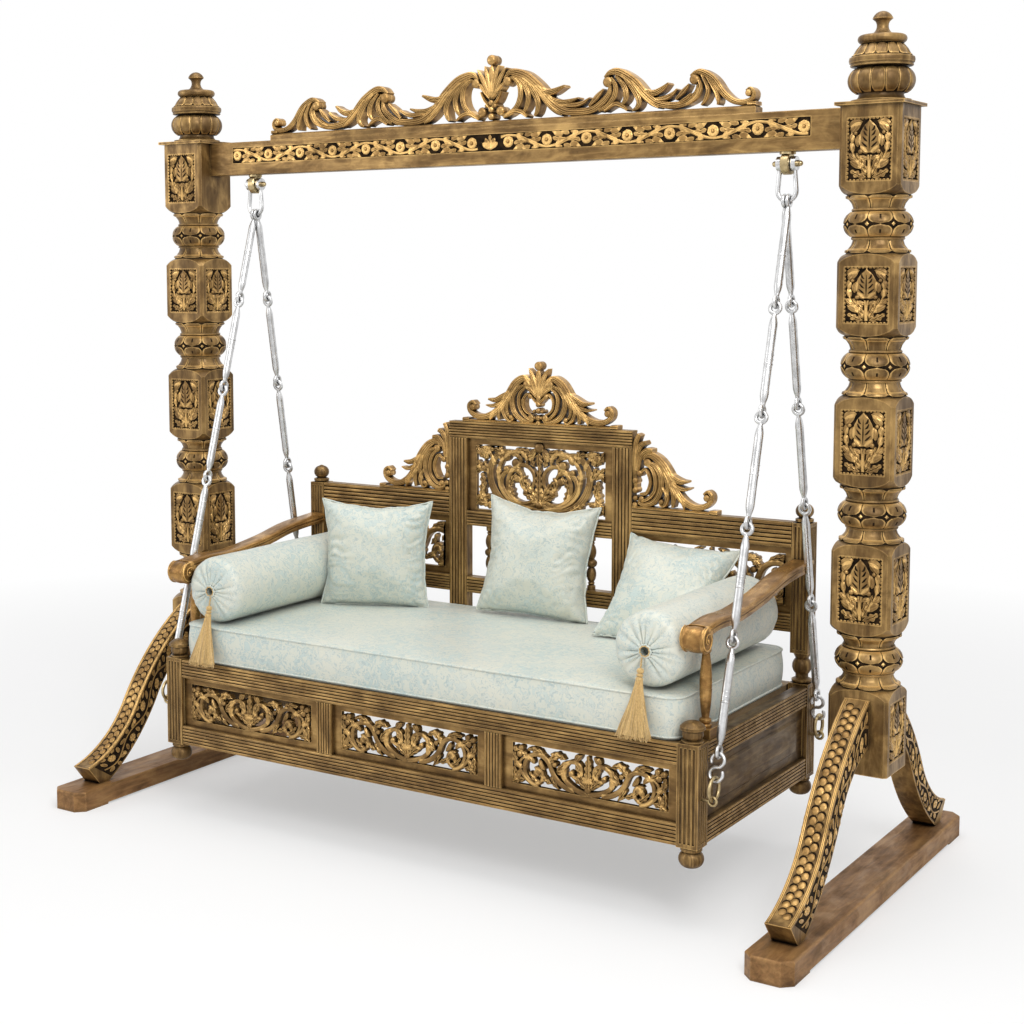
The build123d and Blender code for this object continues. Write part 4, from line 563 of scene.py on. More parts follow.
class Nodes:
    """Short way to build a node material."""

    def __init__(self, name):
        self.material = bpy.data.materials.new(name)
        self.material.use_nodes = True
        self.tree = self.material.node_tree
        self.shader = self.tree.nodes["Principled BSDF"]
        self.where = self.node("ShaderNodeTexCoord").outputs["Object"]

    def node(self, kind, inputs=None, **settings):
        return add_node(self.tree, kind, inputs, **settings)

    def noise(self, scale, stretch=(1, 1, 1), detail=4.0, rough=0.55, twist=0.0):
        mapping = self.node("ShaderNodeMapping", {"Vector": self.where, "Scale": stretch})
        made = self.node("ShaderNodeTexNoise", {
            "Vector": mapping.outputs[0], "Scale": scale, "Detail": detail,
            "Roughness": rough, "Distortion": twist})
        return made.outputs["Fac"]

    def ramp(self, value, stops):
        made = self.node("ShaderNodeValToRGB", {"Fac": value})
        ramp = made.color_ramp
        while len(ramp.elements) < len(stops):
            ramp.elements.new(0.5)
        for element, (place, colour) in zip(ramp.elements, stops):
            element.position = place
            if isinstance(colour, (int, float)):
                colour = (colour, colour, colour)
            element.color = (*colour, 1.0)
        return made.outputs["Color"]

    def mix(self, share, a, b, blend="MIX"):
        a, b = ((*value, 1.0) if isinstance(value, tuple) else value for value in (a, b))
        made = self.node("ShaderNodeMix", {0: share, 6: a, 7: b}, data_type="RGBA", blend_type=blend)
        return made.outputs[2]

    def maths(self, kind, a, b=0.0):
        return self.node("ShaderNodeMath", {0: a, 1: b}, operation=kind).outputs[0]

    def vectors(self, kind, inputs):
        return self.node("ShaderNodeVectorMath", inputs, operation=kind).outputs[0]

    def hollows(self, distance, inside=False):
        """1 in the open and 0 in a hollow; inside: 1 on a flat and 0 at a sharp edge."""
        made = self.node("ShaderNodeAmbientOcclusion", {"Distance": distance * MM},
                         samples=4, inside=inside, only_local=inside)
        return made.outputs["AO"]

    def bump(self, height, strength, distance, under=None):
        inputs = {"Height": height, "Strength": strength, "Distance": distance * MM}
        if under is not None:
            inputs["Normal"] = under
        return self.node("ShaderNodeBump", inputs).outputs["Normal"]

    def finish(self, colour, roughness, metallic=0.0, normal=None, **values):
        for key, value in (("Base Color", colour), ("Roughness", roughness), ("Metallic", metallic),
                           ("Normal", normal), *values.items()):
            if isinstance(value, bpy.types.NodeSocket):
                self.tree.links.new(value, self.shader.inputs[key])
            elif value is not None:
                value = (*value, 1.0) if isinstance(value, tuple) else value
                self.shader.inputs[key].default_value = value
        return self.material


GRAIN = {"x": (0.12, 1, 1), "y": (1, 0.12, 1), "z": (1, 1, 0.12)}


def tone(share, colour):
    """Colour made darker or lighter."""
    return tuple(min(1.0, share * c) for c in colour)


def gilt_wood(name, grain, deep, mid, gold, edge_gold_and_highlight_share=0.6, hollow=14.0, edge=3.0, rough=0.34, metal=0.45,
              figure=0.4):
    """Brown wood with worn gilt on its high places, which also serves as painted highlight along sharp edges,
    and dark wax in its hollows, which also serves as painted shade in recesses and along contact lines with
    other parts.
    """
    m = Nodes(name)
    streak = m.noise(70.0, GRAIN[grain], 6.0, 0.62, 0.6)
    cloud = m.noise(7.5, (1, 1, 1), 5.0, 0.62, 0.4)
    smear = m.noise(24.0, tuple(0.35 + 0.65 * share for share in GRAIN[grain]), 5.0, 0.6, 0.5)
    fleck = m.noise(340.0, GRAIN[grain], 3.0, 0.6)
    base = m.ramp(smear, [(0.32, deep), (0.48, mid), (0.68, gold)])
    patch = m.ramp(cloud, [(0.36, tone(0.55, mid)), (0.52, mid), (0.70, gold)])
    base = m.mix(0.5, base, patch)
    lines = m.ramp(streak, [(0.36, deep), (0.54, mid), (0.72, gold)])
    base = m.mix(figure, base, lines)
    # Painted highlight: bright gold along sharp edges, found by ambient occlusion inside the solid; it also
    # stands for gilt worn bright on the edges.
    high = m.ramp(m.hollows(edge, inside=True), [(0.5, 1.0), (0.93, 0.0)])
    worn_gold_and_highlight = m.maths("MULTIPLY", high, m.ramp(smear, [(0.3, 0.4), (0.6, 1.0)]))
    base = m.mix(m.maths("MULTIPLY", worn_gold_and_highlight, edge_gold_and_highlight_share), base, tone(1.22, gold))
    # Painted shade: ambient occlusion darkens hollows, recesses and contact lines with other parts towards
    # near black; it also stands for dark wax in the hollows.
    low = m.ramp(m.hollows(hollow), [(0.30, 0.0), (0.90, 1.0)])
    base = m.mix(low, tone(0.10, deep), base)
    gloss = m.ramp(smear, [(0.3, rough + 0.22), (0.62, rough)])
    normal = m.bump(streak, 0.16, 0.4)
    normal = m.bump(fleck, 0.08, 0.25, normal)
    normal = m.bump(smear, 0.18, 0.8, normal)
    return m.finish(base, gloss, metal, normal, **{"Specular IOR Level": 0.35})


def dark_ground(name):
    """Near-black ground behind a carving: dark stain, and painted shade in the recess."""
    m = Nodes(name)
    base = m.ramp(m.noise(60.0), [(0.35, (0.006, 0.004, 0.002)), (0.7, (0.035, 0.02, 0.009))])
    return m.finish(base, 0.8, 0.0, m.bump(m.noise(260.0), 0.5, 0.6), **{"Specular IOR Level": 0.08})


def metal(name, colour, rough, smut, tint=(0.4, 0.4, 0.4)):
    """Worn metal, dull where it was handled and dark in its hollows."""
    m = Nodes(name)
    cloud = m.noise(38.0, (1, 1, 1), 5.0, 0.6)
    base = m.ramp(cloud, [(0.3, tuple(c * t for c, t in zip(colour, tint))), (0.62, colour)])
    base = m.mix(smut, colour, base)
    low = m.ramp(m.hollows(7.0), [(0.1, 0.25), (0.7, 1.0)])
    base = m.mix(1.0, base, low, "MULTIPLY")
    gloss = m.ramp(cloud, [(0.3, rough + 0.16), (0.7, rough)])
    normal = m.bump(m.noise(420.0, (1, 1, 0.3), 3.0), 0.1, 0.2)
    return m.finish(base, gloss, 1.0, normal)


AQUA = (0.545, 0.635, 0.60)
CREAM = (0.755, 0.735, 0.61)
PALE = (0.69, 0.715, 0.635)
INDIGO = (0.27, 0.38, 0.41)


def brocade(name, motif, shift=(0.0, 0.0, 0.0)):
    """Pale damask: cream leaves with blue edges on a washed aqua ground, with a woven rib, and painted shade
    in its hollows.
    """
    m = Nodes(name)
    moved = m.node("ShaderNodeMapping", {"Vector": m.where, "Location": shift}).outputs[0]
    bend = m.node("ShaderNodeTexNoise", {"Vector": moved, "Scale": 0.6 * motif, "Detail": 2.0})
    swirl = m.vectors("SUBTRACT", {0: bend.outputs["Color"], 1: (0.5, 0.5, 0.5)})
    swirl = m.vectors("SCALE", {0: swirl, "Scale": 0.06})
    warped = m.vectors("ADD", {0: moved, 1: swirl})
    leaves = m.node("ShaderNodeTexNoise", {
        "Vector": warped, "Scale": motif, "Detail": 1.4, "Distortion": 1.1}).outputs["Fac"]
    figure = m.ramp(leaves, [(0.475, 0.0), (0.515, 1.0)])
    rim = m.ramp(leaves, [(0.42, 0.0), (0.462, 1.0), (0.50, 0.0)])
    veins = m.ramp(m.maths("SINE", m.maths("MULTIPLY", leaves, 150.0)), [(0.35, 0.0), (0.8, 1.0)])
    wash = m.ramp(m.noise(5.0, (1, 1, 1), 3.0), [(0.36, AQUA), (0.62, PALE)])
    base = m.mix(m.maths("MULTIPLY", rim, 0.5), wash, INDIGO)
    base = m.mix(m.maths("MULTIPLY", figure, 0.6), base, CREAM)
    base = m.mix(m.maths("MULTIPLY", m.maths("MULTIPLY", veins, figure), 0.35), base, AQUA)
    thread = m.noise(900.0, (1, 1, 0.25), 2.0)
    base = m.mix(0.10, base, m.ramp(thread, [(0.3, 0.45), (0.7, 1.0)]), "MULTIPLY")
    # Painted shade: ambient occlusion darkens the cloth towards dark grey in creases and where it meets other
    # parts.
    base = m.mix(m.ramp(m.hollows(30.0), [(0.05, 0.6), (0.6, 0.0)]), base, (0.16, 0.18, 0.17))
    normal = m.bump(figure, 0.35, 0.4)
    normal = m.bump(thread, 0.2, 0.3, normal)
    normal = m.bump(m.noise(16.0, (1, 1, 1), 3.0), 0.35, 4.0, normal)
    gloss = m.ramp(figure, [(0.2, 0.5), (0.8, 0.36)])
    return m.finish(base, gloss, 0.0, normal, **{"Sheen Weight": 0.2, "Sheen Roughness": 0.4})


def thread_stuff(name, colour, deep):
    """Twisted rayon thread, with painted shade in its hollows."""
    m = Nodes(name)
    strand = m.noise(700.0, (1, 1, 0.05), 3.0)
    base = m.ramp(strand, [(0.3, deep), (0.66, colour)])
    # Painted shade: ambient occlusion darkens the thread between strands and where it meets other parts.
    base = m.mix(m.ramp(m.hollows(6.0), [(0.1, 0.7), (0.7, 0.0)]), base, tone(0.3, deep))
    return m.finish(base, 0.45, 0.0, m.bump(strand, 0.4, 0.4), **{"Sheen Weight": 0.4})


DEEP = (0.050, 0.024, 0.007)
MID = (0.255, 0.142, 0.044)
GOLD = (0.78, 0.49, 0.175)


def shaded_wood(name, grain, deep, mid, gold, *more, **named):
    """Gilt wood of the object's own colours, each made darker or lighter by a share."""
    return gilt_wood(name, grain, tone(deep, DEEP), tone(mid, MID), tone(gold, GOLD), *more, **named)


post_wood = shaded_wood("post_wood", "z", 0.8, 0.66, 0.84, 0.95, figure=0.22)
beam_wood = shaded_wood("beam_wood", "x", 1.0, 0.82, 0.95, 0.8, 10.0, figure=0.3)
carving_wood = shaded_wood("carving_wood", "x", 1.0, 1.35, 1.05, 0.95, 13.0, 2.5, 0.28, 0.55, 0.15)
panel_wood = shaded_wood("panel_wood", "z", 1.0, 0.95, 0.9, 0.95, 9.0, 2.2, 0.28, 0.55, 0.15)
board_wood = shaded_wood("board_wood", "x", 1.0, 0.85, 0.8, 1.0, 12.0, 2.2, 0.28, 0.55, 0.15)
seat_wood_x = shaded_wood("seat_wood_x", "x", 0.6, 0.62, 0.72, 1.0, 7.0, 2.2, figure=0.6)
seat_wood_y = shaded_wood("seat_wood_y", "y", 0.5, 0.40, 0.42, 0.8, 7.0, 2.2, figure=0.6)
seat_wood_z = shaded_wood("seat_wood_z", "z", 0.6, 0.66, 0.78, 1.0, 7.0, 2.2, figure=0.6)
reed_wood_x = shaded_wood("reed_wood_x", "x", 0.8, 0.9, 0.92, 0.9, 5.0, 2.0, figure=0.45)
reed_wood_z = shaded_wood("reed_wood_z", "z", 0.8, 0.9, 0.92, 0.9, 5.0, 2.0, figure=0.45)
foot_wood = gilt_wood("foot_wood", "y", DEEP, (0.26, 0.13, 0.045), (0.50, 0.29, 0.11), 0.9, 12.0, 5.0,
                      0.42, 0.3)
arm_gilt = gilt_wood("arm_gilt", "y", tone(1.2, DEEP), (0.30, 0.155, 0.045), (0.85, 0.50, 0.17), 0.9,
                     12.0, 4.0, 0.24, 0.65, 0.3)
plain_wood = gilt_wood("plain_wood", "y", (0.16, 0.10, 0.05), (0.36, 0.25, 0.14), (0.45, 0.33, 0.2), 0.1,
                       10.0, 2.0, 0.6, 0.0)
ground_stain_and_shade = dark_ground("ground_stain_and_shade")
steel = metal("chain_steel", (0.72, 0.72, 0.72), 0.22, 0.6)
brass = metal("aged_brass", (0.56, 0.44, 0.24), 0.28, 0.7, (0.45, 0.4, 0.35))
mattress_cloth = brocade("mattress_cloth", 60.0)
cushion_cloth = brocade("cushion_cloth", 62.0, (0.3, 0.1, 0.7))
bolster_cloth = brocade("bolster_cloth", 54.0, (0.8, 0.5, 0.2))
piping_cloth = brocade("piping_cloth", 60.0, (0.1, 0.9, 0.4))
tassel_thread = thread_stuff("tassel_thread", (0.74, 0.51, 0.20), (0.42, 0.25, 0.075))

CHAINS = ["chain_front_left", "chain_front_right", "chain_rear_left", "chain_rear_right"]
FINISHES = {
    post_wood: ["post_left", "post_right", "post_cap_plates", "finials", "brace_front_left",
                "brace_front_right", "brace_rear_left", "brace_rear_right"],
    beam_wood: ["cross_beam", "beam_crest_strip"],
    foot_wood: ["foot_left", "foot_right"],
    board_wood: ["back_centre_board", "back_side_boards", "front_carved_boards"],
    seat_wood_x: ["front_top_rail", "front_bottom_rail", "rear_rails", "rear_board", "back_side_rails",
                  "back_centre_rails"],
    seat_wood_y: ["side_rails", "side_boards"],
    seat_wood_z: ["front_corner_posts", "rear_corner_posts", "front_muntins", "back_stiles",
                  "back_spindles"],
    arm_gilt: ["arm_left", "arm_right", "arm_balusters"],
    plain_wood: ["deck_ledgers", "deck_slats", "stand_dowels"],
    steel: [*CHAINS, "brace_screws", "shackle_bows"],
    brass: ["hanger_eye_bolts", "hanger_nuts", "shackle_pins", "seat_rings", "ring_screw_eyes"],
}
for material, names in FINISHES.items():
    for name in names:
        materials = frame["nodes"][name].data.materials
        materials.clear()
        materials.append(material)


# ------------------------------------------------------------------ mattress
def rounded_plan(half_x, y0, y1, corner, steps=9, straight=28):
    """Points and outward headings round a rectangle with rounded corners."""
    spots = []
    corners = ((half_x - corner, y0 + corner, -90), (half_x - corner, y1 - corner, 0),
               (-half_x + corner, y1 - corner, 90), (-half_x + corner, y0 + corner, 180))
    for k, (cx, cy, start) in enumerate(corners):
        for j in range(steps):
            a = math.radians(start + 90 * j / (steps - 1))
            spots.append((cx + corner * math.cos(a), cy + corner * math.sin(a), math.cos(a), math.sin(a)))
        nx, ny, _ = corners[(k + 1) % 4]
        a = math.radians(start + 90)
        px, py = spots[-1][:2]
        qx, qy = nx + corner * math.cos(a), ny + corner * math.sin(a)
        for j in range(1, straight):
            share = j / straight
            spots.append((px + (qx - px) * share, py + (qy - py) * share, math.cos(a), math.sin(a)))
    return spots


def wave(x, y, z, scale=0.01):
    """Soft random height from -1 to 1."""
    return noise.noise(Vector((x * scale, y * scale, z * scale)))


MATTRESS_LOW, MATTRESS_HIGH = node_box("mattress")
MATTRESS_Y = (MATTRESS_LOW.y + MATTRESS_HIGH.y) / 2
MATTRESS_HALF = (MATTRESS_HIGH.y - MATTRESS_LOW.y) / 2
SEAM_LOW = MATTRESS_LOW.z + 7.0
SEAM_TOP = MATTRESS_HIGH.z - 10.0
SIDE_ROWS = 12
TOP_ROWS = 16
PLAN = rounded_plan(MATTRESS_HIGH.x, MATTRESS_LOW.y, MATTRESS_HIGH.y, 45.0)


def side_ring(share):
    """Ring round the mattress, which bulges a little between its seams."""
    z = SEAM_LOW + (SEAM_TOP - SEAM_LOW) * share
    ring = []
    for x, y, nx, ny in PLAN:
        out = 5.0 * math.sin(math.pi * share) - 2.5 + 1.3 * wave(x, y, z)
        ring.append((x + nx * out, y + ny * out, z))
    return ring


def flat_ring(share, z, domed):
    """Ring of the plan drawn in towards its middle line, for the top or the underside."""
    inset = 2.5 + (1 - share) * MATTRESS_HALF * 0.985
    ring = []
    for x, y, _, _ in PLAN:
        px = x / MATTRESS_HIGH.x * (MATTRESS_HIGH.x - inset)
        py = MATTRESS_Y + (y - MATTRESS_Y) / MATTRESS_HALF * (MATTRESS_HALF - inset)
        rise = 7.0 * (1 - share ** 6) + 2.2 * wave(px, py, 0, 0.006) * (1 - share ** 4) if domed else 0.0
        ring.append((px, py, z + rise))
    return ring


def mattress_cover():
    """Mattress with a gently domed top."""
    rings = [flat_ring(1 - k / 3, MATTRESS_LOW.z + 0.2, False) for k in range(4)][::-1]
    rings += [side_ring(k / SIDE_ROWS) for k in range(SIDE_ROWS + 1)]
    rings += [flat_ring(1 - k / TOP_ROWS, SEAM_TOP + 3.0, True) for k in range(TOP_ROWS + 1)]
    shell = Shells()
    shell.add(rings, roll_faces(len(rings), len(PLAN)))
    return shell.make("mattress_cover", mattress_cloth, "swing", 80)


mattress = mattress_cover()
piping = Shells()
for z in (SEAM_TOP + 1.0, SEAM_LOW - 1.0):
    piping.add(*tube([(x - 2.0 * nx, y - 2.0 * ny, z) for x, y, nx, ny in PLAN], 3.4, 8, closed=True))

# ------------------------------------------------------------------ bolsters
BOLSTER_LOW, BOLSTER_HIGH = node_box("bolster_right")
BOLSTER_X = (BOLSTER_LOW.x + BOLSTER_HIGH.x) / 2
BOLSTER_Z = (BOLSTER_LOW.z + BOLSTER_HIGH.z) / 2
BOLSTER_R = (BOLSTER_HIGH.x - BOLSTER_LOW.x) / 2
BOLSTER_LENGTH = BOLSTER_HIGH.y - BOLSTER_LOW.y
BOLSTER_END = [(11.0, 24.0), (12.5, 8.0), (16.0, 1.5), (22.0, 0.5), (30.0, 3.0), (44.0, 4.5), (60.0, 6.5),
               (74.0, 10.0), (84.0, 16.0), (91.0, 24.0), (94.5, 36.0), (95.0, 60.0)]
PLEATS = 16
ROUND = 96


def bolster_ring(side, r, y):
    """One ring of a roll, with the pleats of its drawn-in ends."""
    near = min(y, BOLSTER_LENGTH - y)
    pleat = 4.4 * math.exp(-((r - 46) / 38.0) ** 2) if near < 40 else 0.0
    ring = []
    for j in range(ROUND):
        a = 2 * math.pi * j / ROUND
        fold = abs(math.sin(PLEATS * (a + 0.09 * math.sin(3 * a + 1) + 0.05 * math.sin(7 * a)) / 2))
        depth = pleat * (1 - fold ** 0.5) * 2
        rr = r + (1.6 * math.cos(PLEATS * a) if r < 30 else 0.0)
        if r > 80:
            rr += 1.6 * wave(200 * math.cos(a), y, 200 * math.sin(a), 0.012) - 1.2
            rr -= 0.8 * (1 - fold) * math.exp(-near / 26)
        shift = depth if y < BOLSTER_LENGTH / 2 else -depth
        ring.append((side * BOLSTER_X + rr * math.cos(a), BOLSTER_LOW.y + y + shift,
                     BOLSTER_Z + rr * math.sin(a)))
    return ring


def bolster(side):
    """Roll with pleated ends."""
    middle = [(95.0, 60.0 + (BOLSTER_LENGTH - 120) * k / 8) for k in range(1, 9)]
    ends = [(r, BOLSTER_LENGTH - y) for r, y in BOLSTER_END[::-1]][1:]
    rows = [bolster_ring(side, r, y) for r, y in BOLSTER_END + middle + ends]
    return rows, [face[::-1] for face in roll_faces(len(rows), ROUND)]


def gathered_ring(side, y, radius, swing, count):
    """Wavy ring round the hole in the end of a bolster."""
    ring = []
    for j in range(count):
        a = 2 * math.pi * j / count
        r = radius + swing * math.cos(9 * a)
        ring.append((side * BOLSTER_X + r * math.cos(a), y, BOLSTER_Z + r * math.sin(a)))
    return ring


bolsters = {}
for side, name in zip(SIDES, ("bolster_left", "bolster_right")):
    shell = Shells()
    shell.add(*bolster(side))
    bolsters[name] = shell.make(name + "_cover", bolster_cloth, "swing", 80)
    for y in (BOLSTER_LOW.y + 1.0, BOLSTER_HIGH.y - 1.0):
        piping.add(*tube(gathered_ring(side, y, 15.5, 1.2, 72), 2.4, 8, closed=True))

# ------------------------------------------------------------------ cushions
PILLOW_GRID = 57
SIDE_BOW = 0.095           # share by which a side is drawn in at its middle
BLOWN_SHARE = 0.3          # share of the simulated pull on the sides that is kept
BLOWN_SWELL = 0.6          # share of the simulated swelling that is kept
SUNK_DOWN = 9.0            # how far a cushion presses into the mattress
SUNK_BACK = 3.0            # how far it presses against the back
SPAN = np.linspace(-1, 1, PILLOW_GRID)
U, V = np.meshgrid(SPAN, SPAN)


def puffed(width, height, front, back):
    """Square cushion by formula: two faces that meet at a pinched seam."""
    x = U * (1 - SIDE_BOW * (1 - V ** 2) * np.abs(U) ** 3) * width / 2
    bow = np.where(V > 0, SIDE_BOW, 0.3 * SIDE_BOW)
    z = V * (1 - bow * (1 - U ** 2) * np.abs(V) ** 3) * height / 2
    swell = (np.clip(1 - U ** 4, 0, 1) * np.clip(1 - V ** 4, 0, 1)) ** 0.52
    return [np.stack([x, sign * depth * swell, z], axis=2) for depth, sign in ((front, -1), (back, 1))]


def sewn_squares(width, height, seed):
    """Points and faces of two flat squares sewn at the rim, and the number of each point."""
    count = PILLOW_GRID
    rng = random.Random(seed)
    sides = []
    for sign in SIDES:
        y = sign * 6.0 * (1 - U ** 6) * (1 - V ** 6)
        uneven = np.array([[rng.uniform(-0.6, 0.6) for _ in SPAN] for _ in SPAN])
        y = y + uneven * (1 - U ** 8) * (1 - V ** 8)
        sides.append(np.stack([U * width * 0.58, y, V * height * 0.58], axis=2))
    number = np.empty((2, count, count), int)
    number[:] = np.arange(count ** 2).reshape(count, count)
    number[1, 1:-1, 1:-1] = count ** 2 + np.arange((count - 2) ** 2).reshape(count - 2, count - 2)
    verts = np.concatenate([sides[0].reshape(-1, 3), sides[1][1:-1, 1:-1].reshape(-1, 3)])
    faces = []
    for i in range(count - 1):
        for j in range(count - 1):
            front, back = number[:, [i, i, i + 1, i + 1], [j, j + 1, j + 1, j]].tolist()
            faces += [front, back[::-1]]
    return verts, faces, number


def inflated(verts, faces):
    """Points of the sewn squares after a short cloth simulation under pressure."""
    mesh = bpy.data.meshes.new("cloth")
    mesh.from_pydata((verts * MM).tolist(), [], faces)
    obj = linked("cloth", mesh)
    cloth = obj.modifiers.new("cloth", "CLOTH")
    cloth.settings.quality = 6
    cloth.settings.mass = 0.25
    cloth.settings.tension_stiffness = 25
    cloth.settings.compression_stiffness = 12
    cloth.settings.shear_stiffness = 8
    cloth.settings.bending_stiffness = 0.35
    cloth.settings.use_pressure = True
    cloth.settings.uniform_pressure_force = 5.0
    cloth.settings.effector_weights.gravity = 0.0
    cloth.point_cache.frame_start = 1
    cloth.point_cache.frame_end = 40
    for step in range(1, 31):
        bpy.context.scene.frame_set(step)
    done = obj.evaluated_get(bpy.context.evaluated_depsgraph_get()).to_mesh()
    points = np.array([vert.co for vert in done.vertices]) / MM
    bpy.context.scene.frame_set(1)
    bpy.data.objects.remove(obj)
    bpy.data.meshes.remove(mesh)
    return points


def blown(width, height, front, back, seed):
    """The same cushion, brought part of the way to what the cloth simulation gives."""
    verts, faces, number = sewn_squares(width, height, seed)
    points = inflated(verts, faces)
    points -= (points.max(axis=0) + points.min(axis=0)) / 2
    size = np.ptp(points, axis=0)
    points[:, 0] *= width / size[0]
    points[:, 2] *= height / size[2]
    points[:, 1] -= np.mean(points[number[0, 0], 1])
    points[:, 1] *= np.where(points[:, 1] < 0, front / -points[:, 1].min(), back / points[:, 1].max())
    share = np.full((*V.shape, 3), BLOWN_SHARE)
    share[..., 1] = BLOWN_SWELL
    share[..., 2] = np.where(V > 0, BLOWN_SHARE, 0.3 * BLOWN_SHARE)
    return [plan + share * (points[number[side]] - plan)
            for side, plan in enumerate(puffed(width, height, front, back))]


def creased(halves, seed):
    """Folds that run in from the two side seams."""
    for half, sign in zip(halves, SIDES):
        drift = np.array([[wave(300 * a, 260 * b, 90 * seed + 40 * sign) for a in SPAN] for b in SPAN])
        ridge = 1 - np.abs(np.sin(2 * math.pi * (3.4 * V + 0.9 * drift) + seed)) ** 0.7
        reach = np.clip((np.abs(U) - 0.42 + 0.3 * drift) / 0.4, 0, 1) * (1 - np.abs(U) ** 10)
        half[..., 1] -= sign * 8.5 * ridge * reach
        half[..., 1] += sign * 3.0 * drift * (1 - U ** 4) * (1 - V ** 4)
    return halves


def seam_line(grid):
    """Points round the seam."""
    return np.array([*grid[0, :-1], *grid[:-1, -1], *grid[-1, :0:-1], *grid[:0:-1, 0]])


def kept_off(points):
    """The points moved out of the mattress, the back and the bolsters."""
    points[..., 2] = np.maximum(points[..., 2], MATTRESS_TOP + 0.5)
    points[..., 1] = np.minimum(points[..., 1], BACK_FRONT - 0.5)
    reach = BOLSTER_R + 0.5
    for side in SIDES:
        dx = points[..., 0] - side * BOLSTER_X
        dz = points[..., 2] - BOLSTER_Z
        near = np.hypot(dx, dz)
        close = (near < reach) & (points[..., 1] < BOLSTER_HIGH.y)
        grow = np.where(close, reach / np.maximum(near, 1.0), 1.0)
        points[..., 0] = side * BOLSTER_X + dx * grow
        points[..., 2] = BOLSTER_Z + dz * grow
    return points


def weld(mesh):
    """Join the points of a mesh that lie in one place."""
    work = bmesh.new()
    work.from_mesh(mesh)
    bmesh.ops.remove_doubles(work, verts=work.verts, dist=0.05 * MM)
    work.to_mesh(mesh)
    work.free()


def cushion(name, width, height, front, back, spot, yaw, lean, roll, seed):
    """Cushion placed as in the part; without a y it leans on the back."""
    halves = blown(width, height, front, back, seed)
    halves = creased(halves, seed)
    turn = np.array(Matrix.Rotation(math.radians(yaw), 3, "Z") @ Matrix.Rotation(math.radians(-lean), 3, "X")
                    @ Matrix.Rotation(math.radians(roll), 3, "Y"))
    pieces = [points @ turn.T for points in (*halves, seam_line(halves[0]))]
    x, y = spot
    if y is None:
        y = BACK_FRONT - 0.3 + SUNK_BACK - max(half[..., 1].max() for half in pieces[:2])
    z = MATTRESS_TOP + 0.3 - SUNK_DOWN - min(half[..., 2].min() for half in pieces[:2])
    *halves, seam = (kept_off(points + (x, y, z)) for points in pieces)
    faces = grid_faces(PILLOW_GRID, PILLOW_GRID)
    faces += [tuple(i + PILLOW_GRID ** 2 for i in face)[::-1] for face in faces]
    shell = Shells()
    shell.add(halves, faces)
    made = shell.make(name + "_cover", cushion_cloth, "swing", 80)
    weld(made.data)
    piping.add(*tube(seam, 3.2, 8, closed=True))
    return made


cushions = {
    "cushion_left": cushion("cushion_left", 332, 322, 60, 55, (-454.0, 66.0), 25.0, 5.0, 1.0, 3),
    "cushion_centre": cushion("cushion_centre", 348, 337, 82, 34, (34.0, None), 7.0, 11.0, 3.0, 5),
    "cushion_right": cushion("cushion_right", 332, 327, 66, 50, (468.0, None), 4.0, 40.0, 4.0, 7),
}
piping = piping.make("piping", piping_cloth, "swing", 80)

# ------------------------------------------------------------------ carved boards and crests
ALONG_X = (1, 0, 0)
UP_Z = (0, 0, 1)
BOARD_RISE = 8.5
BOARD_HALF = 213.0
FRONT_BAY_X = 534.5
FRONT_BAY_Z = 327.5
SIDE_BAY_X = 542.0
SIDE_BAY_Z = 730.0
SIDE_BAY_SCALE = 1.36      # size of the front boards' pattern on the back's side boards
CENTRE_BAY_Z = 943.0
FRONT_BOARD_Y = node_box("front_carved_boards")[0].y
BACK_BOARD_Y = node_box("back_centre_board")[0].y
BACK_CREST_Z = node_box("back_crest")[0].z
BACK_MID_Y = sum(corner.y for corner in node_box("back_crest")) / 2
WING_X = 305.0
WING_Z = node_box("back_wings")[0].z

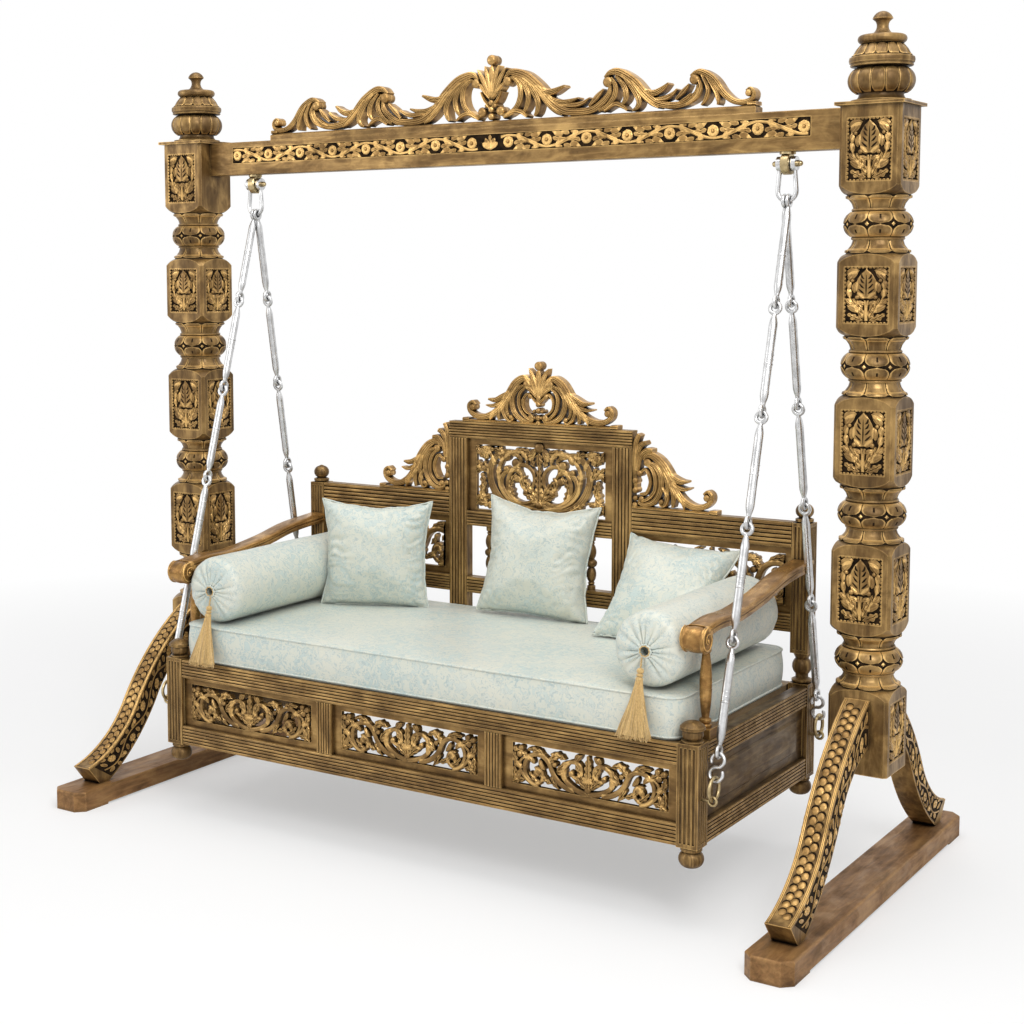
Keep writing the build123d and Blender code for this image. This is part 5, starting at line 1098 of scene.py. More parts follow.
FRONT_FILL = [
    ("leaf", 16, -18, 150, 34, 15, 30), ("leaf", 64, -24, 70, 34, 15, 40), ("leaf", 60, 8, -60, 30, 13, 60),
    ("leaf", 150, -30, 100, 34, 15, 50), ("leaf", 120, -4, 30, 30, 12, 60), ("leaf", 150, 6, 60, 32, 13, -40),
    ("disc", 192, 26, 9), ("disc", 204, 38, 8), ("disc", 188, 42, 8), ("leaf", 202, -46, 100, 34, 15, 20),
    ("leaf", 80, -48, 40, 40, 13, 30), ("leaf", 34, 30, 110, 30, 16, 30), ("leaf", 76, 40, -10, 40, 14, -40),
    ("leaf", 182, -8, 20, 28, 13, 30), ("disc", 92, 14, 7), ("leaf", 132, -44, 30, 44, 14, 20),
]
BACK_FILL = [
    ("leaf", 22, -60, 100, 44, 18, 30), ("leaf", 84, -60, 60, 50, 20, 30), ("leaf", 96, -20, 100, 44, 17, 40),
    ("leaf", 60, 24, 40, 44, 17, 40), ("leaf", 130, -8, 70, 50, 18, 30), ("leaf", 16, 40, 60, 44, 18, 30),
    ("leaf", 170, 10, 60, 44, 17, 20), ("disc", 110, 30, 10), ("leaf", 196, -60, 90, 50, 20, 10),
    ("disc", 192, 76, 11), ("leaf", 70, 70, 30, 40, 17, -40), ("leaf", 120, 78, 20, 44, 18, -20),
    ("leaf", 100, -84, 20, 60, 20, 20), ("disc", 44, -34, 9), ("leaf", 46, -34, 60, 40, 15, 50),
    ("curve", 6, -66, 10, [(50, -84, 18), (104, -78, 22), (146, -44, 24), (166, 4, 22), (158, 50, 20),
                           (128, 76, 18), (90, 78, 15), (62, 62, 12), (66, 46, 9)]),
    ("curve", 6, -50, 8, [(50, -70, 14), (96, -56, 18), (126, -22, 18), (122, 10, 16), (94, 28, 13),
                          (64, 20, 11), (56, 0, 8)]),
    ("disc", 78, 48, 14), ("leaf", 26, 80, 20, 66, 22, -40), ("leaf", 180, 56, 80, 42, 22, 20),
    ("leaf", 184, 14, 60, 46, 22, -20), ("leaf", 182, -34, 70, 50, 22, 10),
    ("leaf", 178, -84, 60, 52, 24, 10), ("leaf", 150, -84, 0, 42, 20, 20), ("leaf", 150, 84, 0, 50, 20, 10),
]

boards = Shells()


def board(x, y, z, half_h, patterns, scale=1.0, back_share=1.0):
    """Carving of one board, which shows on both faces."""
    relief = Relief(0.0, BOARD_RISE, -BOARD, (-BOARD_HALF, BOARD_HALF, -half_h, half_h), back_share)
    for pattern in patterns:
        relief.draw(pattern, scale)
    relief.into(boards, facing((x, y, z), ALONG_X, UP_Z))


def crest(pattern, thick, rise, keep, spot, mirrored=True):
    """Shells of an openwork crest, carved on both faces."""
    relief = Relief(thick / 2, rise, -thick / 2, keep, lobed=False)
    relief.draw(pattern, mirrored=mirrored)
    shells = Shells()
    relief.into(shells, facing(spot, ALONG_X, UP_Z))
    return shells


for x in (-FRONT_BAY_X, 0.0, FRONT_BAY_X):
    board(x, FRONT_BOARD_Y, FRONT_BAY_Z, 50.0, (FRONT_PATTERN, FRONT_FILL), back_share=0.35)
board(0.0, BACK_BOARD_Y, CENTRE_BAY_Z, 95.0, (BACK_PATTERN, BACK_FILL))
for x in (-SIDE_BAY_X, SIDE_BAY_X):
    board(x, BACK_BOARD_Y, SIDE_BAY_Z, 68.0, (FRONT_PATTERN, FRONT_FILL), SIDE_BAY_SCALE)
boards.make("board_carving", board_wood, "swing", 50)

crests = crest(BACK_CREST_PATTERN, 18.0, 9.0, (-260, 260, 0, 186), (0, BACK_MID_Y, BACK_CREST_Z))
one_wing = crest(WING_PATTERN, 18.0, 9.0, (0, 260, 0, 215), (WING_X, BACK_MID_Y, WING_Z), False)
wings = Shells()
for side in SIDES:
    wings.add(np.concatenate(one_wing.verts), one_wing.faces, Matrix.Diagonal((side, 1, 1, 1)))
crests = crests.make("back_crest_carving", carving_wood, "swing", 50)
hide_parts("back_crest")
wings = wings.make("back_wing_carving", carving_wood, "swing", 50)
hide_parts("back_wings")
beam_carving = crest(CREST_PATTERN, 24.0, 10.0, (-768, 768, 0, 178), (0, 0, STRIP_TOP))
beam_carving = beam_carving.make("beam_crest_carving", carving_wood, "stand", 50)
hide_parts("beam_crest")

# ------------------------------------------------------------------ reeds along the rails and stiles
REEDS = 6
REED_RISE = 2.0
REED_FILL = 0.33           # half-width of a reed as a share of the step between reeds
GROUND_THICK = 0.9         # thickness of the dark plates behind reeds and carvings
RAIL_FACE_Y = node_box("front_top_rail")[0].y
SIDE_FACE_X = node_box("side_rails")[1].x
BACK_REAR_Y = node_box("back_stiles")[1].y
RAIL_SPANS = ((398.0, 450.0), (203.0, 257.0))
RAIL_LENGTH = 1553.0
SIDE_RAIL_Y, SIDE_RAIL_LENGTH = -79.0, 627.0
MUNTIN_X, MUNTIN_W, MUNTIN_H = 267.5, 50.0, 141.0
STILE_X, STILE_Z, STILE_W, STILE_H = 274.0, 754.0, 62.0, 608.0
SIDE_BAY_SPANS = ((820.0, 888.0), (592.0, 640.0))
SIDE_BAY_W = 472.0
CENTRE_RAILS = ((1082.5, 610.0, 49.0, 6), (818.0, 486.0, 44.0, 5), (616.0, 486.0, 48.0, 5))
reeds_x = Shells()
reeds_z = Shells()
grooves = Shells()


def ground_plate(shells, half_x, half_y, z, place):
    """Thin dark plate behind a carving: dark stain, and painted shade in the recess."""
    top = np.array([[(x, y, z) for x in (-half_x, half_x)] for y in (-half_y, half_y)])
    shells.add(*plate(top, top - (0, 0, GROUND_THICK)), place)


def reeded(spot, right, length, width, count=REEDS, upright=False):
    """Half-round reeds side by side on a dark ground of stain and painted shade in the grooves between them:
    length along x, or along y when upright.
    """
    place = facing(spot, right, UP_Z)
    step = width / count
    relief = Relief(0.2, REED_RISE)
    runs = np.linspace(-length / 2 + 1.5, length / 2 - 1.5, 2 + int(length / 60))
    for k in range(count):
        line = np.stack([runs, np.full(len(runs), -width / 2 + step * (k + 0.5))], axis=1)
        if upright:
            line = line[:, ::-1]
        normal = (1.0, 0.0) if upright else (0.0, -1.0)
        relief.strand(line, normal, REED_FILL * step, REED_RISE, 7, 1.0, 0.0)
    relief.into(reeds_z if upright else reeds_x, place)
    half = np.array((width, length) if upright else (length, width)) / 2 - 1.2
    ground_plate(grooves, *half, 0.3, place)


for low, high in RAIL_SPANS:
    mid = (low + high) / 2
    reeded((0, RAIL_FACE_Y, mid), ALONG_X, RAIL_LENGTH, high - low)
    reeded((0, BACK_REAR_Y, mid), (-1, 0, 0), RAIL_LENGTH, high - low)
    for side in SIDES:
        reeded((side * SIDE_FACE_X, SIDE_RAIL_Y, mid), (0, side, 0), SIDE_RAIL_LENGTH, high - low)
for side in SIDES:
    reeded((side * MUNTIN_X, RAIL_FACE_Y, FRONT_BAY_Z), ALONG_X, MUNTIN_H, MUNTIN_W, upright=True)
for y, right in ((BACK_FRONT, ALONG_X), (BACK_REAR_Y, (-1, 0, 0))):
    for side in SIDES:
        reeded((side * STILE_X, y, STILE_Z), right, STILE_H, STILE_W, upright=True)
        for low, high in SIDE_BAY_SPANS:
            reeded((side * SIDE_BAY_X, y, (low + high) / 2), right, SIDE_BAY_W, high - low)
    for z, length, width, count in CENTRE_RAILS:
        reeded((0, y, z), right, length, width, count)
reeds_x.make("rail_reeds", reed_wood_x, "swing", 50)
reeds_z.make("stile_reeds", reed_wood_z, "swing", 50)

# ------------------------------------------------------------------ vine band on both faces of the beam
FLOWERS = 8
FLOWER_FIRST = 58.0
FLOWER_STEP = 119.6
FLOWER_R = 15.5
VINE_Z = BEAM_LOW + (BEAM_HIGH - BEAM_LOW) / 2 + 9.0
VINE_SWING = 17.5
VINE_STEMS = ((0.0, 3.2), (11.0, 1.8))     # shift and half-width of the two stems
BEAM_FACE = node_box("cross_beam")[1].y
GAP_LEAVES = [(-2, 3, 205, 40, 15, -60), (-10, 14, 190, 30, 15, -50), (-22, -2, 240, 20, 12, 40),
              (8, 13, 140, 26, 14, 50), (-34, 15, 110, 20, 11, 20), (12, 19, 10, 24, 10, -40)]


def vine(relief, x0, x1, flowers):
    """Stem that passes over one flower and under the next, with leaves in the corners between them."""
    xs = np.arange(x0, x1 + 0.1, 5.0)
    for shift, half in VINE_STEMS:
        phase = math.pi * (xs - flowers[0] - shift) / FLOWER_STEP
        centre = np.stack([xs, VINE_SWING * np.cos(phase)], axis=1)
        normal = to_right(unit(np.gradient(centre, axis=0)))
        relief.strand(centre, normal, half, 0.85 * relief.rise, 5, 1.0, 0.1)
    for k, x in enumerate(flowers):
        relief.disc(x, 0.0, FLOWER_R, 0.35)
        relief.flower(x, 0.0, FLOWER_R, 7, 1.25)
        middle = x + FLOWER_STEP / 2
        if middle <= x1 - 30:
            gap_leaves(relief, middle, 1 if k % 2 else -1)


def gap_leaves(relief, middle, slope):
    """Leaves between two flowers, the same again when turned half round."""
    for sign in (1, -1):
        for dx, y, angle, length, width, bend in GAP_LEAVES:
            angle = slope * angle + (0 if sign > 0 else 180)
            relief.leaf(middle + sign * dx, slope * sign * y, angle, length, width, slope * bend, 0.85)


def middle_palmette(relief):
    """Leaves that fan out over a boss at the beam's middle."""
    for angle in (90, 62, 118, 38, 142):
        relief.leaf(0.0, -17.0, angle, 38.0 - 0.18 * abs(angle - 90), 13.0, 0.0, 1.1)
    for sign in SIDES:
        relief.leaf(sign * 3, -12.0, 90 - sign * 80, 24.0, 12.0, sign * 40, 1.0)
    relief.disc(0.0, -15.0, 6.0)


band = Shells()
ground = Shells()
spots = sorted(side * (FLOWER_FIRST + k * FLOWER_STEP) for side in SIDES for k in range(FLOWERS))
for face in SIDES:
    place = facing((0.0, face * BEAM_FACE, VINE_Z), (-face, 0, 0), UP_Z)
    keep = (-VINE_HALF + 2, VINE_HALF - 2, -VINE_H / 2 + 1, VINE_H / 2 - 1)
    relief = Relief(-VINE_DEPTH, VINE_DEPTH + 1.2, None, keep)
    vine(relief, -VINE_HALF + 3, -FLOWER_FIRST + 22, spots[:FLOWERS])
    vine(relief, FLOWER_FIRST - 22, VINE_HALF - 3, spots[FLOWERS:])
    middle_palmette(relief)
    relief.into(band, place)
    ground_plate(ground, VINE_HALF - 0.5, VINE_H / 2 - 0.5, 0.4 - VINE_DEPTH, place)
band.make("beam_vine", carving_wood, "stand", 50)

# ------------------------------------------------------------------ sunk panels of the post blocks
TOOTH = 4.3
TOOTH_STEP = 2.15          # step between teeth, as a share of a tooth's radius
LEAF_TALL = 74.0
LANCET = [(0.0, 0.25), (0.12, 0.72), (0.28, 0.97), (0.4, 1.0), (0.62, 0.86), (0.82, 0.52), (0.95, 0.16),
          (1.0, 0.02)]     # outline of the central leaf: share of its length, share of its half-width
panels = Shells()
block_spans = []
necks = []
z = POST_BOTTOM
for block, height in zip(BLOCK_HEIGHTS, NECK_HEIGHTS + [0.0]):
    block_spans.append((z, z + block))
    necks.append((z + block, height))
    z += block + height
necks.pop()


def tooth(x, y, place):
    """Round tooth on the edge of a sunk panel, level with the face of the block."""
    verts, faces = lathe([(TOOTH, -0.8), (TOOTH, PANEL_DEPTH - 1.2), (TOOTH - 1.2, PANEL_DEPTH - 0.05)], 10)
    panels.add(verts.reshape(-1, 3) + (x, y, 0.0), faces, place)


def teeth(half_w, half_h, place):
    """Rows of teeth along the four edges of a panel."""
    across = round(2 * half_w / (TOOTH_STEP * TOOTH))
    for k in range(across + 1):
        for y in (-half_h, half_h):
            tooth(-half_w + 2 * half_w * k / across, y, place)
    upward = round(2 * half_h / (TOOTH_STEP * TOOTH))
    for k in range(1, upward):
        for x in (-half_w, half_w):
            tooth(x, -half_h + 2 * half_h * k / upward, place)


def lancet(relief):
    """Tall leaf in the middle of a panel."""
    reach = np.linspace(0, 1, 15)
    line = np.stack([np.zeros(15), -8.0 + 80.0 * reach], axis=1)
    relief.strand(line, (1.0, 0.0), np.interp(reach, *zip(*LANCET)) * 26.0, 5.4, 9, 1.0, 0.0)


def lancet_veins(place):
    """Dark midrib and side veins on the tall leaf: raised strands of the dark ground, dark stain and painted
    shade of carved veins.
    """
    dark_vein_strands = Relief(4.3, 1.6)
    dark_vein_strands.curve([(0, -4, 2), (0, 20, 4), (0, 44, 3), (0, 56, 2)], 1.1)
    for side in SIDES:
        for y in (4, 18, 32, 44):
            dark_vein_strands.curve([(side * 4, y, 2), (side * 10, y + 5, 5), (side * (19 - 0.16 * y), y + 13, 2)])
    dark_vein_strands.into(ground, place)


def panel(post_x, angle, z0, z1):
    """Carved field of one face of a block."""
    a = math.radians(angle)
    out = BLOCK / 2 - PANEL_DEPTH
    place = facing((post_x + out * math.cos(a), out * math.sin(a), (z0 + z1) / 2),
                   (-math.sin(a), math.cos(a), 0), UP_Z)
    half_w = BLOCK / 2 - PANEL_SIDE
    half_h = (z1 - z0) / 2 - PANEL_END
    ground_plate(ground, half_w - 0.3, half_h - 0.3, 0.4, place)
    keep = (-half_w + 3, half_w - 3, -LEAF_TALL, LEAF_TALL)
    relief = Relief(0.0, PANEL_DEPTH + 1.0, None, keep)
    relief.draw(PANEL_PATTERN)
    lancet(relief)
    stretch = place @ Matrix.Diagonal((1, (half_h - 3) / LEAF_TALL, 1, 1))
    relief.into(panels, stretch)
    lancet_veins(stretch)
    teeth(half_w, half_h, place)


for side in SIDES:
    for k, (z0, z1) in enumerate(block_spans):
        angles = [0, 180] if k == 0 else [0, 90, 180, 270]
        if k == len(block_spans) - 1:
            angles.remove(180 if side > 0 else 0)
        for angle in angles:
            panel(side * POST_X, angle, z0, z1)
panels.make("post_panels", panel_wood, "stand", 40)


# ------------------------------------------------------------------ petals of the turned necks and finials
def petal_ring(shells, place, radius_at, z0, z1, count, spin, half_at, lift, rows=9):
    """Raised petals on a turned surface; half_at(v) is the share of the half-angle used at v."""
    u = np.linspace(-1, 1, 9)
    v = np.linspace(0, 1, rows)
    share = np.array([half_at(t) for t in v])
    zs = z0 + (z1 - z0) * v
    radii = np.array([radius_at(value) for value in zs])
    swell = (1 - u[None, :] ** 4) ** 0.5 * np.clip(4.4 * share, 0, 1)[:, None] ** 0.5
    top_r = radii[:, None] + 0.3 + lift * (0.25 + 0.75 * swell)
    low_r = np.broadcast_to(radii[:, None] - 1.0, top_r.shape)
    heights = np.broadcast_to(zs[:, None], top_r.shape)
    for k in range(count):
        angle = spin + 2 * math.pi * k / count + math.pi / count * share[:, None] * u[None, :]
        grids = [np.stack([r * np.cos(angle), r * np.sin(angle), heights], axis=2) for r in (top_r, low_r)]
        if z1 > z0:
            grids = [grid[::-1] for grid in grids]
        shells.add(*plate(*(grid[:, ::-1] for grid in grids)), place)


def round_end(v):
    """Petal with a round end at v = 1."""
    past = max(0.0, (v - 0.42) / 0.58)
    return max(0.02, 0.965 * math.sqrt(max(0.0, 1 - past ** 2)))


def both_ends(v):
    """Lobe drawn in a little at both ends."""
    return 0.955 * (1 - 0.35 * abs(2 * v - 1) ** 5)


def notched(v):
    """Collar petal with rounded shoulders at its rim, v = 1."""
    return 0.95 * math.sqrt(max(0.05, 1 - max(0.0, (v - 0.78) / 0.22) ** 2 * 0.5))


def swollen(widest, mid, reach, rise):
    """Radius of a turned bulge by height: widest at mid, and less by rise at its two ends."""
    swell = (reach ** 2 + rise ** 2) / (2 * rise)
    return lambda value: widest - swell + math.sqrt(max(0.0, swell ** 2 - (value - mid) ** 2))


def skin(radius_at, low, high, heights, segments, place):
    """Dark skin over a turned surface, closed on the axis at two heights: dark stain, and painted shade in
    the gaps between the petals.
    """
    rows = [(radius_at(value) + 0.35, value) for value in heights]
    ground.add(*lathe([(0.01, low), *rows, (0.01, high)], segments), place)


def star(a, mid, place):
    """Small diamond on the widest line of a neck."""
    out = BULB_R + 0.2
    spot = facing((out * math.cos(a), out * math.sin(a), mid), (-math.sin(a), math.cos(a), 0), UP_Z)
    verts = [(-5, 0, 0), (0, -5, 0), (5, 0, 0), (0, 5, 0), (0, 0, 2.2), (0, 0, -1.0)]
    faces = [(0, 1, 4), (1, 2, 4), (2, 3, 4), (3, 0, 4), (1, 0, 5), (2, 1, 5), (3, 2, 5), (0, 3, 5)]
    stars.add(verts, faces, place @ spot)


def dark_cut(radius_at, a, heights, place):
    """Short dark cut along a petal, painted shade of the cut: a raised strip of the dark ground."""
    grids = []
    for lift in (3.1, 1.0):
        radii = [radius_at(value) + lift for value in heights]
        grids.append(np.array([[(r * math.cos(a + da), r * math.sin(a + da), value)
                                for da in (-0.028, 0.028)] for r, value in zip(radii, heights)]))
    ground.add(*plate(*grids), place)


NECK_PETALS = 8
HALF_PETAL = math.pi / NECK_PETALS
NECK_RIM = NECK_R + 4
petals = Shells()
stars = Shells()


def neck(side, z, height):
    """Petals, rims and stars of one turned neck."""
    place = Matrix.Translation((side * POST_X, 0, z))
    mid = 0.5 * height
    bulb = swollen(BULB_R, mid, 0.22 * height, BULB_R - NECK_RIM)

    def collar(value):
        return float(np.interp(min(value, height - value), [0, 8, 9, 0.15 * height, 0.22 * height],
                               [SHOULDER_R, SHOULDER_R, SHOULDER_R - 6, NECK_R + 3, NECK_R]))

    skin(bulb, 0.27 * height, 0.73 * height, np.linspace(0.285, 0.715, 15) * height, 64, place)
    for low, high in ((1.0, 0.235 * height), (0.765 * height, height - 1.0)):
        skin(collar, low, high, np.linspace(low, high, 14), 64, place)
    for value in (0.26 * height, 0.74 * height):
        rim = [(NECK_RIM - 4, value - 3.6), (NECK_RIM + 1.6, value - 3.2), (NECK_RIM + 3.2, value),
               (NECK_RIM + 1.6, value + 3.2), (NECK_RIM - 4, value + 3.6)]
        petals.add(*lathe(rim, 64), place)
    for start, end in ((0.712, 0.505), (0.288, 0.495)):
        petal_ring(petals, place, bulb, start * height, end * height, NECK_PETALS, HALF_PETAL, round_end, 2.6)
    for start, end in ((0.235 * height, 2.5), (0.765 * height, height - 2.5)):
        petal_ring(petals, place, collar, start, end, NECK_PETALS, HALF_PETAL, notched, 3.0, 12)
    for j in range(NECK_PETALS):
        a = 2 * HALF_PETAL * j
        star(a, mid, place)
        for low, high in ((0.585, 0.665), (0.345, 0.405)):
            dark_cut(bulb, a - HALF_PETAL, np.linspace(low, high, 4) * height, place)


for side in SIDES:
    for z, height in necks:
        neck(side, z, height)
petals.make("neck_petals", post_wood, "stand", 50)
stars.make("neck_stars", post_wood, "stand", 0)

MELON_LOW, MELON_HIGH = 21.0, 82.0
MELON_R = 75.0
FINIAL_RIMS = ((84.0, 90.0, 73.5), (92.0, 106.0, 76.5), (137.0, 141.0, 51.0))
finial_parts = Shells()


def cone(value):
    """Radius of the upper part of a finial by height."""
    return float(np.interp(value, [107, 111, 124, 137], [71, 64, 57, 46]))


def finial(side):
    """Lobed melon, lobed cone and rims of one finial."""
    place = Matrix.Translation((side * POST_X, 0, CAP_TOP))
    half = (MELON_HIGH - MELON_LOW) / 2
    melon = swollen(MELON_R, MELON_LOW + half, half, 20.0)
    skin(melon, MELON_LOW, MELON_HIGH, np.linspace(MELON_LOW + 1, MELON_HIGH - 1, 13), 56, place)
    skin(cone, 109.0, 137.0, np.linspace(109.5, 136.5, 8), 56, place)
    petal_ring(finial_parts, place, melon, MELON_LOW + 1, MELON_HIGH - 1, 14, 0.0, both_ends, 3.2, 13)
    petal_ring(finial_parts, place, cone, 109.0, 135.5, 14, 0.1, both_ends, 3.4)
    for low, high, r in FINIAL_RIMS:
        rim = [(r - 6, low), (r - 1.2, low + 0.8), (r, (low + high) / 2), (r - 1.2, high - 0.8),
               (r - 6, high)]
        finial_parts.add(*lathe(rim, 56), place)


for side in SIDES:
    finial(side)
finial_parts.make("finial_petals", post_wood, "stand", 50)


# ------------------------------------------------------------------ braces
def arc_to(x, y, heading, tx, ty):
    """Radius and turn of the arc that leaves (x, y) along a heading and reaches (tx, ty)."""
    dx, dy = tx - x, ty - y
    way = math.radians(heading)
    off = math.atan2(math.cos(way) * dy - math.sin(way) * dx, math.cos(way) * dx + math.sin(way) * dy)
    return math.hypot(dx, dy) / (2 * abs(math.sin(off))), 2 * math.degrees(off)


def brace_line(start, heading, between, end):
    """Points and headings of an edge of a brace, made of two arcs."""
    first = arc_to(*start, heading, *between)
    second = arc_to(*between, heading + first[1], *end)
    return stem_line(*start, heading, [first, second], 8.0)


def along(line):
    """Length of a line, and the lookup of its position and heading by distance."""
    line = np.array(line)
    run = distances(line[:, :2])
    ways = np.radians(line[:, 2])
    return run[-1], lambda s: [np.interp(s, run, values) for values in (line[:, 0], line[:, 1], ways)]


BRACE_START = (BLOCK / 2, POST_BOTTOM + BRACE_TOP)
BRACE_TIP = (BRACE_REACH, FOOT_H + BRACE_TIP_H)
BRACE_BEND = (BRACE_START[0] + 0.561 * (BRACE_TIP[0] - BRACE_START[0]),
              BRACE_TIP[1] + 0.371 * (BRACE_START[1] - BRACE_TIP[1]))
BRACE_HEEL = (BRACE_REACH - 84.0, FOOT_H)
BRACE_UNDER = (BLOCK / 2, POST_BOTTOM + 72.0)
BRACE_INNER = (BRACE_START[0] + 0.453 * (BRACE_HEEL[0] - BRACE_START[0]),
               BRACE_HEEL[1] + 0.626 * (BRACE_UNDER[1] - BRACE_HEEL[1]))
UPPER_LENGTH, upper_at = along(brace_line(BRACE_START, -29.0, BRACE_BEND, BRACE_TIP))
LOWER_LENGTH, lower_at = along(brace_line(BRACE_HEEL, 149.0, BRACE_INNER, BRACE_UNDER)[::-1])
SCALE_STEP = 24.5
SCALE_R = 9.6
DOME_R = 9.2
BEAD_LINES = (-27.5, -24.0, 24.0, 27.5)
SIDE_TALL = 41.0           # half-height at which the side's drawing fills the side
SIDE_WAVE = 95.0
SIDE_LEAVES = ((-20, 16, 150, 26, 13, 40), (20, 16, 30, 26, 13, -40), (-30, -4, -120, 26, 13, 20),
               (30, -4, -60, 26, 13, -20), (0, 20, 90, 18, 14, 0), (-14, -28, -150, 24, 12, 30),
               (14, -28, -30, 24, 12, -30), (-40, 10, 110, 22, 12, -30), (0, -30, -90, 14, 12, 0))
face_gold = Shells()
slot_shade = Shells()
side_gold = Shells()
side_dark = Shells()
brace_gold = Shells()


def over_face(points):
    """Flat drawing (x along the brace, y across it, z out) laid on its outer face."""
    y, z, way = upper_at(points[:, 0])
    return np.stack([points[:, 1], y - np.sin(way) * points[:, 2], z + np.cos(way) * points[:, 2]], axis=1)


def over_side(points):
    """Flat drawing (x along, y from -1 to 1 across, z out) laid on the side of a brace."""
    share = points[:, 0] / UPPER_LENGTH
    y0, z0, _ = upper_at(points[:, 0])
    y1, z1, _ = lower_at(share * LOWER_LENGTH)
    t = 0.5 - 0.5 * points[:, 1]
    return np.stack([BRACE_W / 2 + points[:, 2], y0 + (y1 - y0) * t, z0 + (z1 - z0) * t], axis=1)


def draw_face():
    """Outer face of a brace: thin lines along its edges and two rows of scales on dark discs, painted shade
    that stands for the cut slots under the scales.
    """
    xs = np.linspace(4, UPPER_LENGTH - 4, 60)
    for y in BEAD_LINES:
        relief = Relief(0.0, 1.6)
        relief.strand(np.stack([xs, np.full(60, y)], axis=1), (0.0, -1.0), 1.3, 1.6, 5, 1.0, 0.0)
        relief.into(face_gold, None)
    disc = lathe([(SCALE_R, -0.6), (SCALE_R, 0.5), (0.5 * SCALE_R, 0.6)], 16)
    curve = [(DOME_R * math.cos(a), 0.5 + 3.2 * math.sin(a)) for a in np.linspace(0, 1.35, 5)]
    dome = lathe([(DOME_R, -0.6)] + curve, 16)
    stretched = dome[0].reshape(-1, 3) * (1.12, 1.0, 1.0)
    for k in range(int((UPPER_LENGTH - 44) / SCALE_STEP)):
        for column in SIDES:
            x = 26.0 + SCALE_STEP * k + (SCALE_STEP / 2 if column > 0 else 0.0)
            y = column * SCALE_R
            # Dark disc: painted shade of a cut slot.
            slot_shade.add(disc[0].reshape(-1, 3) + (x, y, 0.0), disc[1])
            face_gold.add(stretched + (x + 5.4, y - column * 1.6, 0.0), dome[1])


def draw_side():
    """Side of a brace: a waving stem with flowers and leaves on a dark ground of stain and painted shade."""
    relief = Relief(0.0, 2.6)
    waves = int(UPPER_LENGTH / SIDE_WAVE)
    xs = np.linspace(14, UPPER_LENGTH - 26, 100)
    wave_y = 16.0 * np.sin(math.pi * waves * (xs - 14) / (UPPER_LENGTH - 40))
    centre = np.stack([xs, wave_y], axis=1)
    relief.strand(centre, to_right(unit(np.gradient(centre, axis=0))), 2.6, 2.4, 5, 1.0, 0.1)
    for k in range(waves):
        x = 14 + (UPPER_LENGTH - 40) / waves * (k + 0.5)
        sign = -1 if k % 2 else 1
        relief.flower(x, -sign * 12.0, 15.0, 6, 1.2)
        for dx, dy, angle, length, width, bend in SIDE_LEAVES:
            relief.leaf(x + dx, sign * dy, sign * angle, length, width, sign * bend)
    for verts, faces in relief.parts:
        verts[:, 1] = np.clip(verts[:, 1] / SIDE_TALL, -0.86, 0.86)
        side_gold.add(verts, faces)
    # Dark ground plate: dark stain and painted shade behind the carving.
    rows = np.linspace(8, UPPER_LENGTH - 18, 60)
    top = np.array([[(x, y, 0.35) for y in (0.84, 0.4, 0.0, -0.4, -0.84)] for x in rows])
    side_dark.add(*plate(top, top - (0, 0, GROUND_THICK)))


def lay(source, target, over, place):
    """Move every point of a drawing by a warp and then by a matrix."""
    target.add(over(np.concatenate(source.verts)), source.faces, place)


draw_face()
draw_side()
for side in SIDES:
    for end in SIDES:
        place = Matrix.Translation((side * POST_X, 0, 0)) @ Matrix.Diagonal((1, end, 1, 1))
        lay(face_gold, brace_gold, over_face, place)
        lay(slot_shade, ground, over_face, place)
        for face in SIDES:
            turned = place @ Matrix.Diagonal((face, 1, 1, 1))
            lay(side_gold, brace_gold, over_side, turned)
            lay(side_dark, ground, over_side, turned)
brace_gold.make("brace_carving", carving_wood, "stand", 50)
# Dark grounds behind carvings, petals, slots and reeds: dark stain and painted shade.
ground.make("carving_grounds", ground_stain_and_shade, "stand", 40)
grooves.make("reed_grounds", ground_stain_and_shade, "swing", 40)

# ------------------------------------------------------------------ bands turned on the chain rods
RING_STEP = 9.0
ROD_R = 10.5
ROD_TALL = 150.0           # a solid of a chain at least this tall is a rod
ROD_END = 64.0             # part of a rod at each end that has no bands
bands = Shells()


def separate(mesh):
    """Points of each solid of a mesh, in millimetres."""
    points = np.array([v.co for v in mesh.vertices]) / MM
    links = np.arange(len(points))
    edges = np.array([e.vertices for e in mesh.edges])
    while True:
        low = np.minimum(links[edges[:, 0]], links[edges[:, 1]])
        before = links.copy()
        np.minimum.at(links, edges[:, 0], low)
        np.minimum.at(links, edges[:, 1], low)
        links = links[links]
        if (links == before).all():
            return [points[links == tag] for tag in np.unique(links)]


def banded(rod):
    """Thin rings along a rod, every fifth one wider."""
    middle = rod.mean(axis=0)
    axis = np.linalg.svd(rod - middle, full_matrices=False)[2][0]
    spread = (rod - middle) @ axis
    half = (spread.max() - spread.min()) / 2 - ROD_END
    turns = int(2 * half / RING_STEP)
    place = Vector(axis).to_track_quat("Z", "Y").to_matrix().to_4x4()
    place.translation = Vector(middle + axis * (spread.max() + spread.min()) / 2)
    for j in range(turns + 1):
        z = -half + 2 * half * j / turns
        wide = 1.9 if j % 5 else 3.4
        rim = [(ROD_R - 1, z - wide), (ROD_R + 0.5, z - 0.6 * wide), (ROD_R + 0.9, z),
               (ROD_R + 0.5, z + 0.6 * wide), (ROD_R - 1, z + wide)]
        bands.add(*lathe(rim, 20), place)


for name in CHAINS:
    for solid in separate(frame["nodes"][name].data):
        if np.ptp(solid[:, 2]) >= ROD_TALL:
            banded(solid)
bands.make("chain_bands", steel, "swing", 40)

